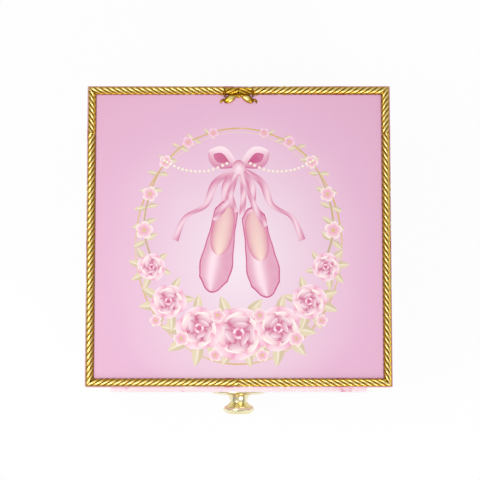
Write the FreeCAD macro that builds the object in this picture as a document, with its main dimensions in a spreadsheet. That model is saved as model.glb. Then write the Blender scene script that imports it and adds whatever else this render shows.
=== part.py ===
import FreeCAD
import Part
import Sketcher
import math
import os
import re

# Jewellery box with a drawer, a hinged lid and a dancer turned by a musical movement.
# Millimetres. Origin at the middle of the underside, +Z up, front towards -Y.

os.makedirs("parts", exist_ok=True)
Vec = FreeCAD.Vector
Turn = FreeCAD.Rotation
doc = FreeCAD.newDocument("JewelleryBox")
sizes = doc.addObject("Spreadsheet::Sheet", "Sizes")
places = {}
nodes = []

CROWN_TEETH = 36
PINION_TEETH = 12
DRUM_GEAR_TEETH = 32
COMB_TEETH = 18
PINS_PER_TRACK = 3
ROLL_COUNT = 3
PLEATS = 16
COIL_TURNS = 4
RETURN_TURNS = 3
PRESSURE_ANGLE = math.radians(20)
# share of the tooth pitch that is metal, leaving backlash for free running
TOOTH_SHARE = 0.40


def place(name, text):
    places[name] = text


def named(text):
    def swap(found):
        word = found.group(0)
        if word in driving:
            return "Sizes." + word
        if word in places:
            return "(" + named(places[word]) + ")"
        return word
    return re.sub(r"[a-z][a-z_0-9]*", swap, str(text))


def mm(text):
    return float(sizes.evalExpression(named(text)))


# driving dimensions
driving = {
    # case
    "case_width": 120,  # outside width of case and lid
    "case_depth": 119,  # outside depth of case and lid
    "case_height": 90,  # height of the case walls
    "board": 2.5,  # thickness of case and lid boards
    "divider_level": 43,  # underside of the compartment floor
    "bay_depth": 31,  # front of the drawer partition to the back panel
    # lid
    "lid_gap": 0.4,  # gap between case and lid
    "lid_height": 17,  # height of the lid with its board
    "picture_thick": 0.4,  # thickness of the printed panel
    "rope_inset": 0.6,  # lid margin left outside the rope
    "rope_width": 3.0,  # width of the rope border
    "rope_height": 2.0,  # height of the rope border
    "rope_pitch": 2.43,  # spacing of the rope strands
    "rope_joint": 19,  # distance of the side rope joints from the rear edge
    "bow_width": 15,  # width of the bow ornament
    "bow_depth": 7,  # depth of the bow ornament
    "mirror_width": 92,  # width of the lid mirror
    "mirror_depth": 76,  # depth of the lid mirror
    "mirror_thick": 2,  # thickness of the lid mirror
    "mirror_shift": 4,  # mirror centre in front of the box centre
    "frame_width": 4,  # width of the mirror frame
    "frame_thick": 2.6,  # thickness of the mirror frame
    # hinges
    "hinge_spread": 32,  # distance of each hinge from the middle
    "hinge_length": 18,  # length of a hinge
    "leaf_height": 9,  # height of a hinge leaf
    "leaf_thick": 0.7,  # thickness of a hinge leaf
    "knuckle_radius": 1.5,  # outside radius of the hinge knuckles
    "hinge_pin_radius": 0.7,  # radius of a hinge pin
    "running_fit": 0.05,  # radial clearance of turning shafts
    # drawer
    "opening_side": 7,  # front panel left beside the drawer opening
    "opening_top": 39,  # upper edge of the drawer opening
    "front_overlap": 3,  # drawer front beyond the opening on each side
    "front_bottom": 4,  # lower edge of the drawer front
    "front_top": 42,  # upper edge of the drawer front
    "front_thick": 3,  # thickness of the drawer front
    "front_edge": 0.8,  # rounding of the drawer front
    "drawer_gap": 0.2,  # gap behind the closed drawer front
    "drawer_clear": 0.5,  # clearance around the drawer box
    "drawer_board": 2,  # thickness of the drawer boards
    "drawer_wall": 31,  # height of the drawer walls
    "drawer_end": 2.5,  # clearance behind the closed drawer
    "lining_thick": 0.8,  # thickness of the velvet linings
    "guide_height": 8,  # height of the drawer guides
    # knob
    "rosette_radius": 12.2,  # radius of the stamped rosette
    "rosette_thick": 1.5,  # height of the stamped rosette
    "collar_radius": 5.3,  # radius of the knob foot
    "waist_radius": 3.8,  # radius of the knob waist
    "head_radius": 7,  # radius of the knob head
    "knob_length": 8.6,  # length of the knob in front of the rosette
    "knob_screw_radius": 1.2,  # radius of the knob screw
    # upper compartment
    "stage_depth": 37,  # depth of the stage
    "stage_height": 6,  # height of the stage
    "roll_radius": 4.4,  # radius of a ring roll at its middle
    "roll_end": 3.5,  # radius of a ring roll at its ends
    "roll_nose": 1.6,  # rounding of the ends of a ring roll
    "roll_clear": 1,  # clearance at the ends of a ring roll
    "roll_gap": 0.3,  # gap between neighbouring ring rolls
    "tray_wall_thick": 1.6,  # thickness of the tray wall
    "tray_wall_height": 13,  # height of the tray wall
    # musical movement
    "gear_module": 0.65,  # module of the crown wheel and its pinions
    "drum_module": 0.5,  # module of the drum gear and governor pinion
    "crown_face": 2,  # radial width of the crown teeth
    "pinion_face": 1.2,  # face width of the crown pinions
    "barrel_headroom": 4,  # space above the spring barrel
    "barrel_depth": 10.4,  # depth of the spring barrel
    "barrel_gap": 0.6,  # gap between barrel and bedplate
    "barrel_wall": 1.1,  # wall of the spring barrel
    "arbor_radius": 1.6,  # radius of the winding arbor
    "spring_strip": 0.35,  # thickness of the mainspring strip
    "spring_spacing": 1.5,  # spacing of the mainspring turns
    "bed_thick": 2,  # thickness of the bedplate
    "bed_left": 17,  # bedplate to the left of the arbor
    "bed_low": 4,  # lower edge of the bedplate
    "drum_radius": 6.5,  # radius of the pinned cylinder
    "drum_length": 19.6,  # length of the pinned cylinder
    "drum_offset": 5.3,  # pinned cylinder beyond the crown radius
    "drum_arbor_radius": 1,  # radius of the cylinder arbor
    "pin_height": 0.5,  # height of the cylinder pins
    "pin_side": 0.4,  # side of a cylinder pin
    "comb_gap": 0.2,  # gap between pins and comb tips
    "comb_thick": 1,  # thickness of the comb
    "comb_reach": 10,  # free length of the comb teeth
    "comb_root_height": 4.2,  # height of the comb root
    "comb_slot": 0.3,  # slot between two comb teeth
    "drum_gear_face": 2,  # face width of the drum gear
    "governor_width": 12,  # width of the governor housing
    "governor_arbor_radius": 0.8,  # radius of the governor arbors
    "fan_radius": 6,  # radius of the governor fan
    "fan_thick": 1.2,  # thickness of the governor fan
    "key_lobe": 5.2,  # radius of a key wing
    "key_spread": 6.4,  # key wing centre from the axis
    "key_thick": 1.6,  # thickness of the key wings
    "key_hub_radius": 2.8,  # radius of the key hub
    "key_hub_length": 6,  # length of the key hub
    "key_gap": 0.8,  # gap between back panel and key
    # dancer
    "spindle_radius": 1.3,  # radius of the dancer spindle
    "spindle_disc": 3.2,  # radius of the disc under the coil spring
    "coil_radius": 1.8,  # mean radius of the dancer coil spring
    "coil_wire": 0.3,  # wire radius of the dancer coil spring
    "coil_height": 8,  # height of the dancer coil spring
    "head_clearance": 1,  # room between the dancer and the mirror frame
    "tutu_radius": 14,  # radius of the tutu
    "tutu_thick": 0.5,  # thickness of the tutu
    "tutu_drop": 2.6,  # droop of the tutu edge
    "tutu_ripple": 0.7,  # height of the tutu pleats
    # stop
    "plunger_radius": 1,  # radius of the stop plunger
    "plunger_travel": 3,  # rise of the stop plunger
    "brake_gap": 0.25,  # gap between brake pad and fan
    "return_wire": 0.25,  # wire radius of the plunger spring
}
for row, (alias, value) in enumerate(driving.items(), 1):
    sizes.set("A%d" % row, alias.replace("_", " "))
    sizes.set("B%d" % row, str(value))
    sizes.setAlias("B%d" % row, alias)
doc.recompute()

# case places
place("inner_x", "case_width / 2 - board")
place("inner_y", "case_depth / 2 - board")
place("partition_front", "inner_y - bay_depth")
place("stage_front", "inner_y - stage_depth")
place("roll_length", "2 * (inner_x - roll_clear)")
place("front_y", "-case_depth / 2")
place("back_y", "case_depth / 2")
place("divider_top", "divider_level + board")
place("stage_top", "divider_top + stage_height")
place("floor_top", "divider_top + lining_thick")
# lid places
place("lid_bottom", "case_height + lid_gap")
place("lid_top", "lid_bottom + lid_height")
place("lid_under", "lid_top - board")
place("picture_top", "lid_top + picture_thick")
place("rope_outer_x", "case_width / 2 - rope_inset")
place("rope_outer_y", "case_depth / 2 - rope_inset")
place("rope_inner_x", "rope_outer_x - rope_width")
place("rope_inner_y", "rope_outer_y - rope_width")
place("mirror_face", "lid_under - frame_thick")
# hinge places
place("hinge_y", "back_y + knuckle_radius + 0.1")
place("hinge_z", "case_height + lid_gap / 2")
# drawer places
place("opening_width", "case_width - 2 * opening_side")
place("front_width", "opening_width + 2 * front_overlap")
place("front_back", "front_y - drawer_gap")
place("front_face", "front_back - front_thick")
place("drawer_half", "opening_width / 2 - drawer_clear")
place("drawer_low", "board + drawer_clear")
place("drawer_rear", "partition_front - drawer_end")
place("knob_z", "(front_bottom + front_top) / 2")
place("rosette_face", "front_face - rosette_thick")
place("knob_end", "rosette_face - knob_length")
# movement places
place("crown_radius", "gear_module * %d / 2" % CROWN_TEETH)
place("pinion_radius", "gear_module * %d / 2" % PINION_TEETH)
place("barrel_radius", "crown_radius + crown_face / 2")
place("axis_z", "divider_level - barrel_radius - barrel_headroom")
place("bed_front", "inner_y - bed_thick")
place("barrel_back", "bed_front - barrel_gap")
place("crown_root", "barrel_back - barrel_depth")
place("crown_pitch", "crown_root - 1.3 * gear_module")
place("drum_y", "crown_pitch - pinion_radius")
place("drum_start", "crown_radius + drum_offset")
place("drum_end", "drum_start + drum_length")
place("gear_start", "drum_end + 0.8")
place("gear_end", "gear_start + drum_gear_face")
place("governor_left", "gear_end + 2")
place("governor_right", "governor_left + governor_width")
place("governor_z", "axis_z - drum_module * %d / 2" % (DRUM_GEAR_TEETH + PINION_TEETH))
place("governor_top", "axis_z + 3")
place("fan_x", "governor_left + governor_width / 2")
place("fan_y", "drum_y + 4.8")
place("fan_low", "governor_top + 0.8")
place("fan_top", "fan_low + fan_thick")
place("bridge_low", "axis_z + barrel_radius + 0.5")
place("comb_tip", "axis_z - drum_radius - pin_height - comb_gap")
place("comb_root", "comb_tip - comb_reach")
place("comb_low", "comb_root - comb_root_height")
place("comb_pitch", "(drum_length - 1) / %d" % COMB_TEETH)
place("comb_start", "drum_start + 0.5")
# dancer places
place("bush_low", "divider_level - 1.2")
place("spindle_low", "axis_z + crown_radius - pinion_face / 2 - 0.4")
place("flange_top", "stage_top + 0.8")
place("coil_base", "flange_top + 1.4")
place("figure_base", "coil_base + coil_height")
place("figure_height", "mirror_face - head_clearance - figure_base")
place("tutu_level", "figure_base + 0.56 * figure_height")
# stop places
place("plunger_x", "fan_x")
place("plunger_y", "fan_y + fan_radius - 1.4")
place("plunger_low", "fan_top + brake_gap")
place("plunger_top", "lid_under - 0.3")
place("return_seat", "divider_level + 1.5")
place("return_collar", "return_seat + 6")


AXIS_TURN = {
    "x": Turn(Vec(0, 1, 0), 90),
    "y": Turn(Vec(1, 0, 0), -90),
    "z": Turn(),
}
# the frame of a gear that runs on a shaft along X
SHAFT_X = Turn(Vec(1, 1, 1), 120)


def put(item, x="0", y="0", z="0"):
    item.setExpression("Placement.Base.x", named(x))
    item.setExpression("Placement.Base.y", named(y))
    item.setExpression("Placement.Base.z", named(z))
    return item


def node(item, label):
    item.Label = label
    nodes.append(item)
    return item


def box(name, x, y, z):
    solid = doc.addObject("Part::Box", name)
    for size_name, letter, (low, high) in (("Length", "x", x), ("Width", "y", y), ("Height", "z", z)):
        solid.setExpression(size_name, named("(%s) - (%s)" % (high, low)))
        solid.setExpression("Placement.Base." + letter, named(low))
    return solid


def rod(name, axis, radius, run, at):
    solid = doc.addObject("Part::Cylinder", name)
    solid.Placement = FreeCAD.Placement(Vec(), AXIS_TURN[axis])
    solid.setExpression("Radius", named(radius))
    solid.setExpression("Height", named("(%s) - (%s)" % (run[1], run[0])))
    spots = list(at)
    spots.insert("xyz".index(axis), run[0])
    return put(solid, *spots)


def fuse(name, solids):
    whole = doc.addObject("Part::MultiFuse", name)
    whole.Shapes = solids
    return whole


def group(name, solids):
    whole = doc.addObject("Part::Compound", name)
    whole.Links = solids
    return whole


def cut(name, blank, tools):
    whole = doc.addObject("Part::Cut", name)
    whole.Base = blank
    whole.Tool = tools[0] if len(tools) == 1 else group(name + "_tools", tools)
    return whole


def shaped(name, shape):
    item = doc.addObject("Part::Feature", name)
    item.Shape = shape
    return item


def outline(body, name, plane, corners, level="0"):
    # A closed outline held by one pair of dimensions for each corner. A corner is (x, y) or
    # (x, y, radius), the radius bending the run to the next corner outwards, or inwards
    # when it starts with a minus sign. The outline runs anticlockwise.
    sketch = body.newObject("Sketcher::SketchObject", name)
    support = next(item for item in body.Origin.OriginFeatures if item.Role == plane)
    sketch.AttachmentSupport = [(support, "")]
    sketch.MapMode = "FlatFace"
    sketch.setExpression("AttachmentOffset.Base.z", named(level))
    points = [Vec(mm(corner[0]), mm(corner[1]), 0) for corner in corners]
    count = len(corners)
    ends = []
    for index, corner in enumerate(corners):
        start = points[index]
        stop = points[(index + 1) % count]
        if len(corner) == 2:
            sketch.addGeometry(Part.LineSegment(start, stop), False)
            ends.append((1, 2))
            continue
        inwards = corner[2].startswith("-")
        radius = mm(corner[2].lstrip("-"))
        chord = stop - start
        right = Vec(chord.y, -chord.x, 0).normalize()
        offset = math.sqrt(max(radius ** 2 - chord.Length ** 2 / 4, 0))
        centre = (start + stop) * 0.5 + right * (offset if inwards else -offset)
        first, last = (stop, start) if inwards else (start, stop)
        angles = [math.atan2(point.y - centre.y, point.x - centre.x) for point in (first, last)]
        if angles[1] < angles[0]:
            angles[1] += 2 * math.pi
        circle = Part.Circle(centre, Vec(0, 0, 1), radius)
        sketch.addGeometry(Part.ArcOfCircle(circle, angles[0], angles[1]), False)
        ends.append((2, 1) if inwards else (1, 2))
    for index in range(count):
        after = (index + 1) % count
        joint = Sketcher.Constraint("Coincident", index, ends[index][1], after, ends[after][0])
        sketch.addConstraint(joint)
    for index, corner in enumerate(corners):
        for kind, text in (("DistanceX", corner[0]), ("DistanceY", corner[1])):
            limit = Sketcher.Constraint(kind, -1, 1, index, ends[index][0], mm(text))
            sketch.setExpression("Constraints[%d]" % sketch.addConstraint(limit), named(text))
        if len(corner) == 3:
            text = corner[2].lstrip("-")
            limit = Sketcher.Constraint("Radius", index, mm(text))
            sketch.setExpression("Constraints[%d]" % sketch.addConstraint(limit), named(text))
    return sketch


def pad(name, plane, corners, length, level="0"):
    body = doc.addObject("PartDesign::Body", name)
    feature_sketch = outline(body, name + "_outline", plane, corners, level)
    feature = body.newObject("PartDesign::Pad", name + "_pad")
    feature.Profile = feature_sketch
    feature.setExpression("Length", named(length))
    body.Tip = feature
    return body


def turned(name, axis, corners):
    # a turned piece: corners are (radius, height along the axis)
    body = doc.addObject("PartDesign::Body", name)
    plane, line = {"z": ("XZ_Plane", "V_Axis"), "y": ("XY_Plane", "V_Axis")}[axis]
    profile = outline(body, name + "_profile", plane, corners)
    feature = body.newObject("PartDesign::Revolution", name + "_turned")
    feature.Profile = profile
    feature.ReferenceAxis = (profile, [line])
    feature.Angle = 360
    body.Tip = feature
    return body


def screws(name, axis, towards, spots, head, shank, seat, reach):
    # round-headed screws: the head stands on the seat, the shank reaches the other way
    pieces = []
    head_radius, head_height = head
    for index, spot in enumerate(spots):
        tag = "%s_%d" % (name, index + 1)
        rise = "(%s) + (%s)" % (seat, head_height)
        fall = "(%s) - (%s)" % (seat, head_height)
        head_run = (seat, rise) if towards > 0 else (fall, seat)
        shank_run = (reach, seat) if towards > 0 else (seat, reach)
        head_rod = rod(tag + "_head", axis, head_radius, head_run, spot)
        pieces.append(fuse(tag, [head_rod, rod(tag + "_shank", axis, shank, shank_run, spot)]))
    return group(name, pieces) if len(pieces) > 1 else pieces[0]


def polygon_face(points):
    return Part.Face(Part.makePolygon(list(points) + [points[0]]))


def gear(teeth, module, addendum, dedendum, width, phase=0.5):
    # involute spur gear on Z, its first tooth turned from +X by the phase, in tooth pitches
    pitch = module * teeth / 2
    base = pitch * math.cos(PRESSURE_ANGLE)
    tip = pitch + addendum
    root = pitch - dedendum

    def roll(radius):
        turn = math.sqrt(max((radius / base) ** 2 - 1, 0))
        return turn - math.atan(turn)

    def spot(radius, angle):
        return Vec(radius * math.cos(angle), radius * math.sin(angle), 0)

    half = TOOTH_SHARE * math.pi / teeth
    step = 2 * math.pi / teeth
    flank = [max(base, root), (max(base, root) + tip) / 2, tip]
    spread = [half + roll(pitch) - roll(radius) for radius in flank]
    edges = []
    for tooth in range(teeth):
        middle = (tooth + phase) * step
        rise = [spot(radius, middle - angle) for radius, angle in zip(flank, spread)]
        fall = [spot(radius, middle + angle) for radius, angle in zip(flank, spread)]
        low_first = spot(root, middle - spread[0])
        low_last = spot(root, middle + spread[0])
        if root < base:
            edges.append(Part.makeLine(low_first, rise[0]))
        edges.append(Part.Arc(*rise).toShape())
        edges.append(Part.Arc(rise[2], spot(tip, middle), fall[2]).toShape())
        edges.append(Part.Arc(fall[2], fall[1], fall[0]).toShape())
        if root < base:
            edges.append(Part.makeLine(fall[0], low_last))
        following = spot(root, middle + step - spread[0])
        edges.append(Part.Arc(low_last, spot(root, middle + step / 2), following).toShape())
    return Part.Face(Part.Wire(edges)).extrude(Vec(0, 0, width))


def crown_pinion(name):
    module = mm("gear_module")
    width = mm("pinion_face")
    return shaped(name, gear(PINION_TEETH, module, module, 0.95 * module, width))


def biarc(start, start_way, stop, stop_way):
    # two arcs that leave along start_way and arrive along stop_way
    gap = stop - start
    ways = start_way + stop_way
    square = 2 * (1 - start_way.dot(stop_way))
    along = gap.dot(ways)
    if square < 1e-9:
        reach = gap.dot(gap) / (4 * gap.dot(stop_way))
    else:
        reach = (-along + math.sqrt(along ** 2 + square * gap.dot(gap))) / square
    middle = (start + start_way * reach + stop - stop_way * reach) * 0.5
    arcs = []
    for origin, way, target in ((start, start_way, middle), (stop, stop_way * -1, middle)):
        line = target - origin
        normal = line - way * line.dot(way)
        if normal.Length < 1e-7:
            arcs.append(Part.LineSegment(origin, target))
            continue
        normal.normalize()
        radius = line.dot(line) / (2 * line.dot(normal))
        centre = origin + normal * radius
        halfway = (origin - centre) + (target - centre)
        if halfway.Length < 1e-6:
            halfway = way
        elif line.dot(way) < 0:
            halfway = halfway * -1
        arcs.append(Part.Arc(origin, centre + halfway.normalize() * radius, target))
    return [arcs[0].toShape(), arcs[1].toShape()]


def coil(name, radius, wire, height, turns):
    # one unbroken coil on Z whose ends stand square on the pieces they meet
    steps = 4 * turns
    lead = 3 * wire
    rise = height - 2 * lead - 4 * wire
    knots = [(Vec(radius, 0, 2 * wire), Vec(0, 0, 1))]
    slope = rise / (2 * math.pi * turns)
    bend = math.radians(50)
    for step in range(steps + 1):
        angle = bend + step * math.pi / 2
        way = Vec(-radius * math.sin(angle), radius * math.cos(angle), slope)
        level = 2 * wire + lead + rise * step / steps
        spot = Vec(radius * math.cos(angle), radius * math.sin(angle), level)
        knots.append((spot, way.normalize()))
    last = bend + steps * math.pi / 2 + bend
    final = Vec(radius * math.cos(last), radius * math.sin(last), height - 2 * wire)
    knots.append((final, Vec(0, 0, 1)))
    edges = [Part.makeLine(Vec(radius, 0, 0), knots[0][0])]
    for before, after in zip(knots, knots[1:]):
        edges += biarc(before[0], before[1], after[0], after[1])
    edges.append(Part.makeLine(final, Vec(final.x, final.y, height)))
    path = Part.Wire(Part.__sortEdges__(edges))
    points = path.discretize(Number=60 * turns)
    skip = 30
    gaps = [
        points[one].distanceToPoint(points[two])
        for one in range(len(points))
        for two in range(one + skip, len(points))
    ]
    print("least gap between turns of %s: %.3f mm" % (name, min(gaps) - 2 * wire))
    ring = Part.Wire(Part.makeCircle(wire, Vec(radius, 0, 0), Vec(0, 0, 1)))
    return shaped(name, path.makePipeShell([ring], True, False))


# case panels
node(box("bottom_panel", ("-case_width / 2", "case_width / 2"), ("front_y", "back_y"), ("0", "board")),
     "bottom_panel")
for side, low, high in (("left", "-case_width / 2", "-inner_x"), ("right", "inner_x", "case_width / 2")):
    name = "side_panel_" + side
    node(box(name, (low, high), ("front_y", "back_y"), ("board", "case_height")), name)

bed_spots = [
    ("-bed_left + 3", "bed_low + 4"),
    ("-bed_left + 3", "bridge_low - 1"),
    ("drum_end - 3", "bed_low + 8"),
    ("drum_end - 3", "bridge_low - 1"),
]
back_tools = [
    rod("back_arbor_hole", "y", "arbor_radius + 1.4", ("inner_y - 1", "back_y + 1"), ("0", "axis_z")),
]
for index, spot in enumerate(bed_spots):
    hole_name = "back_screw_hole_%d" % (index + 1)
    back_tools.append(rod(hole_name, "y", "1.1", ("inner_y - 1", "back_y + 1"), spot))
back_blank = box("back_blank", ("-inner_x", "inner_x"), ("inner_y", "back_y"), ("board", "case_height"))
node(cut("back_panel", back_blank, back_tools), "back_panel")

front_corners = [
    ("-inner_x", "board"),
    ("-opening_width / 2", "board"),
    ("-opening_width / 2", "opening_top"),
    ("opening_width / 2", "opening_top"),
    ("opening_width / 2", "board"),
    ("inner_x", "board"),
    ("inner_x", "case_height"),
    ("-inner_x", "case_height"),
]
node(pad("front_panel", "XZ_Plane", front_corners, "board", "inner_y"), "front_panel")

divider_blank = box("divider_blank", ("-inner_x", "inner_x"), ("-inner_y", "inner_y"),
                    ("divider_level", "divider_top"))
divider_run = ("divider_level - 1", "divider_top + 1")
divider_tools = [
    rod("divider_bush_hole", "z", "spindle_radius + 1.4", divider_run, ("0", "drum_y")),
    rod("divider_guide_hole", "z", "plunger_radius + 2", divider_run, ("plunger_x", "plunger_y")),
]
node(cut("compartment_floor", divider_blank, divider_tools), "compartment_floor")
node(box("bay_partition", ("-inner_x", "inner_x"), ("partition_front", "partition_front + board"),
         ("board", "divider_level")), "bay_partition")
guides = []
guide_spans = (("left", "-inner_x", "-opening_width / 2"), ("right", "opening_width / 2", "inner_x"))
for side, low, high in guide_spans:
    guides.append(box("drawer_guide_" + side, (low, high), ("-inner_y", "partition_front"),
                      ("board", "board + guide_height")))
node(group("drawer_guides", guides), "drawer_guides")

# upper compartment
node(box("floor_lining", ("-inner_x", "inner_x"), ("-inner_y", "stage_front"), ("divider_top", "floor_top")),
     "floor_lining")
stage_blank = box("stage_blank", ("-inner_x", "inner_x"), ("stage_front", "inner_y"),
                  ("divider_top", "stage_top"))
stage_run = ("divider_top - 1", "stage_top + 1")
stage_tools = [
    rod("stage_bush_hole", "z", "spindle_radius + 1.4", stage_run, ("0", "drum_y")),
    rod("stage_guide_hole", "z", "plunger_radius + 2", stage_run, ("plunger_x", "plunger_y")),
]
node(cut("stage_platform", stage_blank, stage_tools), "stage_platform")
rolls = []
roll_crown = "(roll_radius - roll_end)"
roll_bend = "((roll_length / 2 - roll_nose)^2 + %s^2) / (2 * %s)" % (roll_crown, roll_crown)
for index in range(ROLL_COUNT):
    roll = doc.addObject("PartDesign::Body", "ring_roll_%d" % (index + 1))
    corners = [
        ("-roll_length / 2", "0"),
        ("roll_length / 2", "0"),
        ("roll_length / 2", "roll_end - roll_nose", "roll_nose * 1.06"),
        ("roll_length / 2 - roll_nose", "roll_end", roll_bend),
        ("-roll_length / 2 + roll_nose", "roll_end", "roll_nose * 1.06"),
        ("-roll_length / 2", "roll_end - roll_nose"),
    ]
    profile = outline(roll, roll.Name + "_profile", "XY_Plane", corners)
    feature = roll.newObject("PartDesign::Revolution", roll.Name + "_turned")
    feature.Profile = profile
    feature.ReferenceAxis = (profile, ["H_Axis"])
    feature.Angle = 360
    roll.Tip = feature
    step = "-inner_y + 0.3 + roll_radius + %d * (2 * roll_radius + roll_gap)" % index
    rolls.append(put(roll, "0", step, "floor_top + roll_radius + 0.05"))
node(group("ring_rolls", rolls), "ring_rolls")
place("tray_wall_y", "-inner_y + 0.6 + %d * (2 * roll_radius + roll_gap)" % ROLL_COUNT)
node(box("tray_wall", ("-inner_x", "inner_x"), ("tray_wall_y", "tray_wall_y + tray_wall_thick"),
         ("floor_top", "floor_top + tray_wall_height")), "tray_wall")

# lid boards
node(box("lid_board", ("-case_width / 2", "case_width / 2"), ("front_y", "back_y"), ("lid_under", "lid_top")),
     "lid_board")
for side, low, high in (("front", "front_y", "-inner_y"), ("back", "inner_y", "back_y")):
    name = "lid_rim_" + side
    node(box(name, ("-case_width / 2", "case_width / 2"), (low, high), ("lid_bottom", "lid_under")), name)
for side, low, high in (("left", "-case_width / 2", "-inner_x"), ("right", "inner_x", "case_width / 2")):
    name = "lid_rim_" + side
    node(box(name, (low, high), ("-inner_y", "inner_y"), ("lid_bottom", "lid_under")), name)
node(box("lid_picture", ("-rope_inner_x + 0.1", "rope_inner_x - 0.1"),
         ("-rope_inner_y + 0.1", "rope_inner_y - 0.1"),
         ("lid_top", "picture_top")), "lid_picture")
mirror_y = ("-mirror_shift - mirror_depth / 2", "-mirror_shift + mirror_depth / 2")
frame_y = ("%s - frame_width" % mirror_y[0], "%s + frame_width" % mirror_y[1])
frame_x = ("-mirror_width / 2 - frame_width", "mirror_width / 2 + frame_width")
node(box("mirror", ("-mirror_width / 2", "mirror_width / 2"), mirror_y,
         ("lid_under - mirror_thick", "lid_under")),
     "mirror")
frame_blank = box("frame_blank", frame_x, frame_y, ("mirror_face", "lid_under"))
frame_window = box("frame_window", ("-mirror_width / 2", "mirror_width / 2"), mirror_y,
                   ("mirror_face - 1", "lid_under + 1"))
node(cut("mirror_frame", frame_blank, [frame_window]), "mirror_frame")


# rope border
def rope_run(start, stop, slant, window):
    # A twisted bar from start to stop in the plane of the lid, trimmed to the window. The
    # slant is the shift of a strand along the run over half the width of the rope.
    width = mm("rope_width")
    height = mm("rope_height")
    level = mm("lid_top")
    along = (stop - start).normalize()
    across = Vec(-along.y, along.x, 0)
    length = start.distanceToPoint(stop)
    count = max(2, round(length / mm("rope_pitch")))
    pitch = length / count
    rows = (-1.0, -0.6, 0.0, 0.6, 1.0)
    crest = (0.3, 0.82, 1.0, 0.82, 0.3)
    valley = (0.3, 0.52, 0.62, 0.52, 0.3)
    spare = 2
    lines = []
    for step in range(-2 * spare, 2 * count + 2 * spare + 1):
        heights = crest if step % 2 else valley
        lines.append([
            start + along * (step * pitch / 2 + slant * row) + across * (row * width / 2)
            + Vec(0, 0, level + rise * height - start.z)
            for row, rise in zip(rows, heights)
        ])
    faces = []
    for one, two in zip(lines, lines[1:]):
        for row in range(len(rows) - 1):
            faces.append(polygon_face([one[row], two[row], two[row + 1]]))
            faces.append(polygon_face([one[row], two[row + 1], one[row + 1]]))

    def foot(point):
        return Vec(point.x, point.y, level)

    for row in (0, len(rows) - 1):
        edge = [line[row] for line in lines]
        faces.append(polygon_face(edge + [foot(edge[-1]), foot(edge[0])]))
    for line in (lines[0], lines[-1]):
        faces.append(polygon_face(line + [foot(line[-1]), foot(line[0])]))
    faces.append(polygon_face([foot(lines[0][0]), foot(lines[-1][0]), foot(lines[-1][-1]), foot(lines[0][-1])]))
    shell = Part.makeCompound(faces)
    shell.sewShape()
    bar = Part.Solid(shell.Shells[0])
    if bar.Volume < 0:
        bar.reverse()
    corners = [Vec(x, y, level - 1) for x, y in window]
    prism = polygon_face(corners).extrude(Vec(0, 0, height + 2))
    return bar.common(prism).Solids[0]


outer_x = mm("rope_outer_x")
outer_y = mm("rope_outer_y")
inner_x = mm("rope_inner_x")
inner_y = mm("rope_inner_y")
middle_x = (outer_x + inner_x) / 2
middle_y = (outer_y + inner_y) / 2
lean = mm("rope_width") * 0.62
joint_y = mm("back_y - rope_joint")
bow_half = mm("bow_width / 2 + 0.1")
front_halves = []
back_halves = []
for side in (-1, 1):
    window = [(side * outer_x, -outer_y), (0, -outer_y), (0, -inner_y), (side * inner_x, -inner_y)]
    start, stop = sorted((side * outer_x, 0))
    front_halves.append(rope_run(Vec(start, -middle_y, 0), Vec(stop, -middle_y, 0), -side * lean, window))
    gap_x = side * bow_half
    window = [(side * outer_x, outer_y), (gap_x, outer_y), (gap_x, inner_y), (side * inner_x, inner_y)]
    start, stop = sorted((side * outer_x, gap_x))
    back_halves.append(rope_run(Vec(start, middle_y, 0), Vec(stop, middle_y, 0), side * lean, window))
node(shaped("rope_front", Part.makeCompound(front_halves)), "rope_front")
node(shaped("rope_back", Part.makeCompound(back_halves)), "rope_back")
for name, side in (("rope_left", -1), ("rope_right", 1)):
    window = [(side * outer_x, -outer_y), (side * inner_x, -inner_y), (side * inner_x, joint_y),
              (side * outer_x, joint_y)]
    lower = rope_run(Vec(side * middle_x, -outer_y, 0), Vec(side * middle_x, joint_y, 0), side * lean, window)
    window = [(side * outer_x, outer_y), (side * inner_x, inner_y), (side * inner_x, joint_y),
              (side * outer_x, joint_y)]
    upper = rope_run(Vec(side * middle_x, joint_y, 0), Vec(side * middle_x, outer_y, 0), -side * lean, window)
    node(shaped(name, Part.makeCompound([lower, upper])), name)

# bow ornament
bow_parts = [box("bow_foot", ("-bow_width / 2", "bow_width / 2"), ("rope_inner_y + 0.05", "rope_outer_y"),
                 ("lid_top", "picture_top + 0.6"))]
for name, x, y, wide, deep, high in (
    ("bow_loop_left", "-bow_width * 0.25", "rope_inner_y - 0.6", "bow_width * 0.24", "bow_depth * 0.4", "1.9"),
    ("bow_loop_right", "bow_width * 0.25", "rope_inner_y - 0.6", "bow_width * 0.24", "bow_depth * 0.4", "1.9"),
    ("bow_knot", "0", "rope_inner_y + 1.2", "bow_width * 0.2", "bow_depth * 0.26", "2.3"),
    ("bow_tail_left", "-bow_width * 0.36", "rope_inner_y + 1.5", "bow_width * 0.14", "bow_depth * 0.2", "1.7"),
    ("bow_tail_right", "bow_width * 0.36", "rope_inner_y + 1.5", "bow_width * 0.14", "bow_depth * 0.2", "1.7"),
):
    dome = doc.addObject("Part::Ellipsoid", name)
    dome.Angle1 = 0
    dome.setExpression("Radius1", named(high))
    dome.setExpression("Radius2", named(wide))
    dome.setExpression("Radius3", named(deep))
    bow_parts.append(put(dome, x, y, "picture_top"))
node(fuse("bow_ornament", bow_parts), "bow_ornament")

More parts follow.
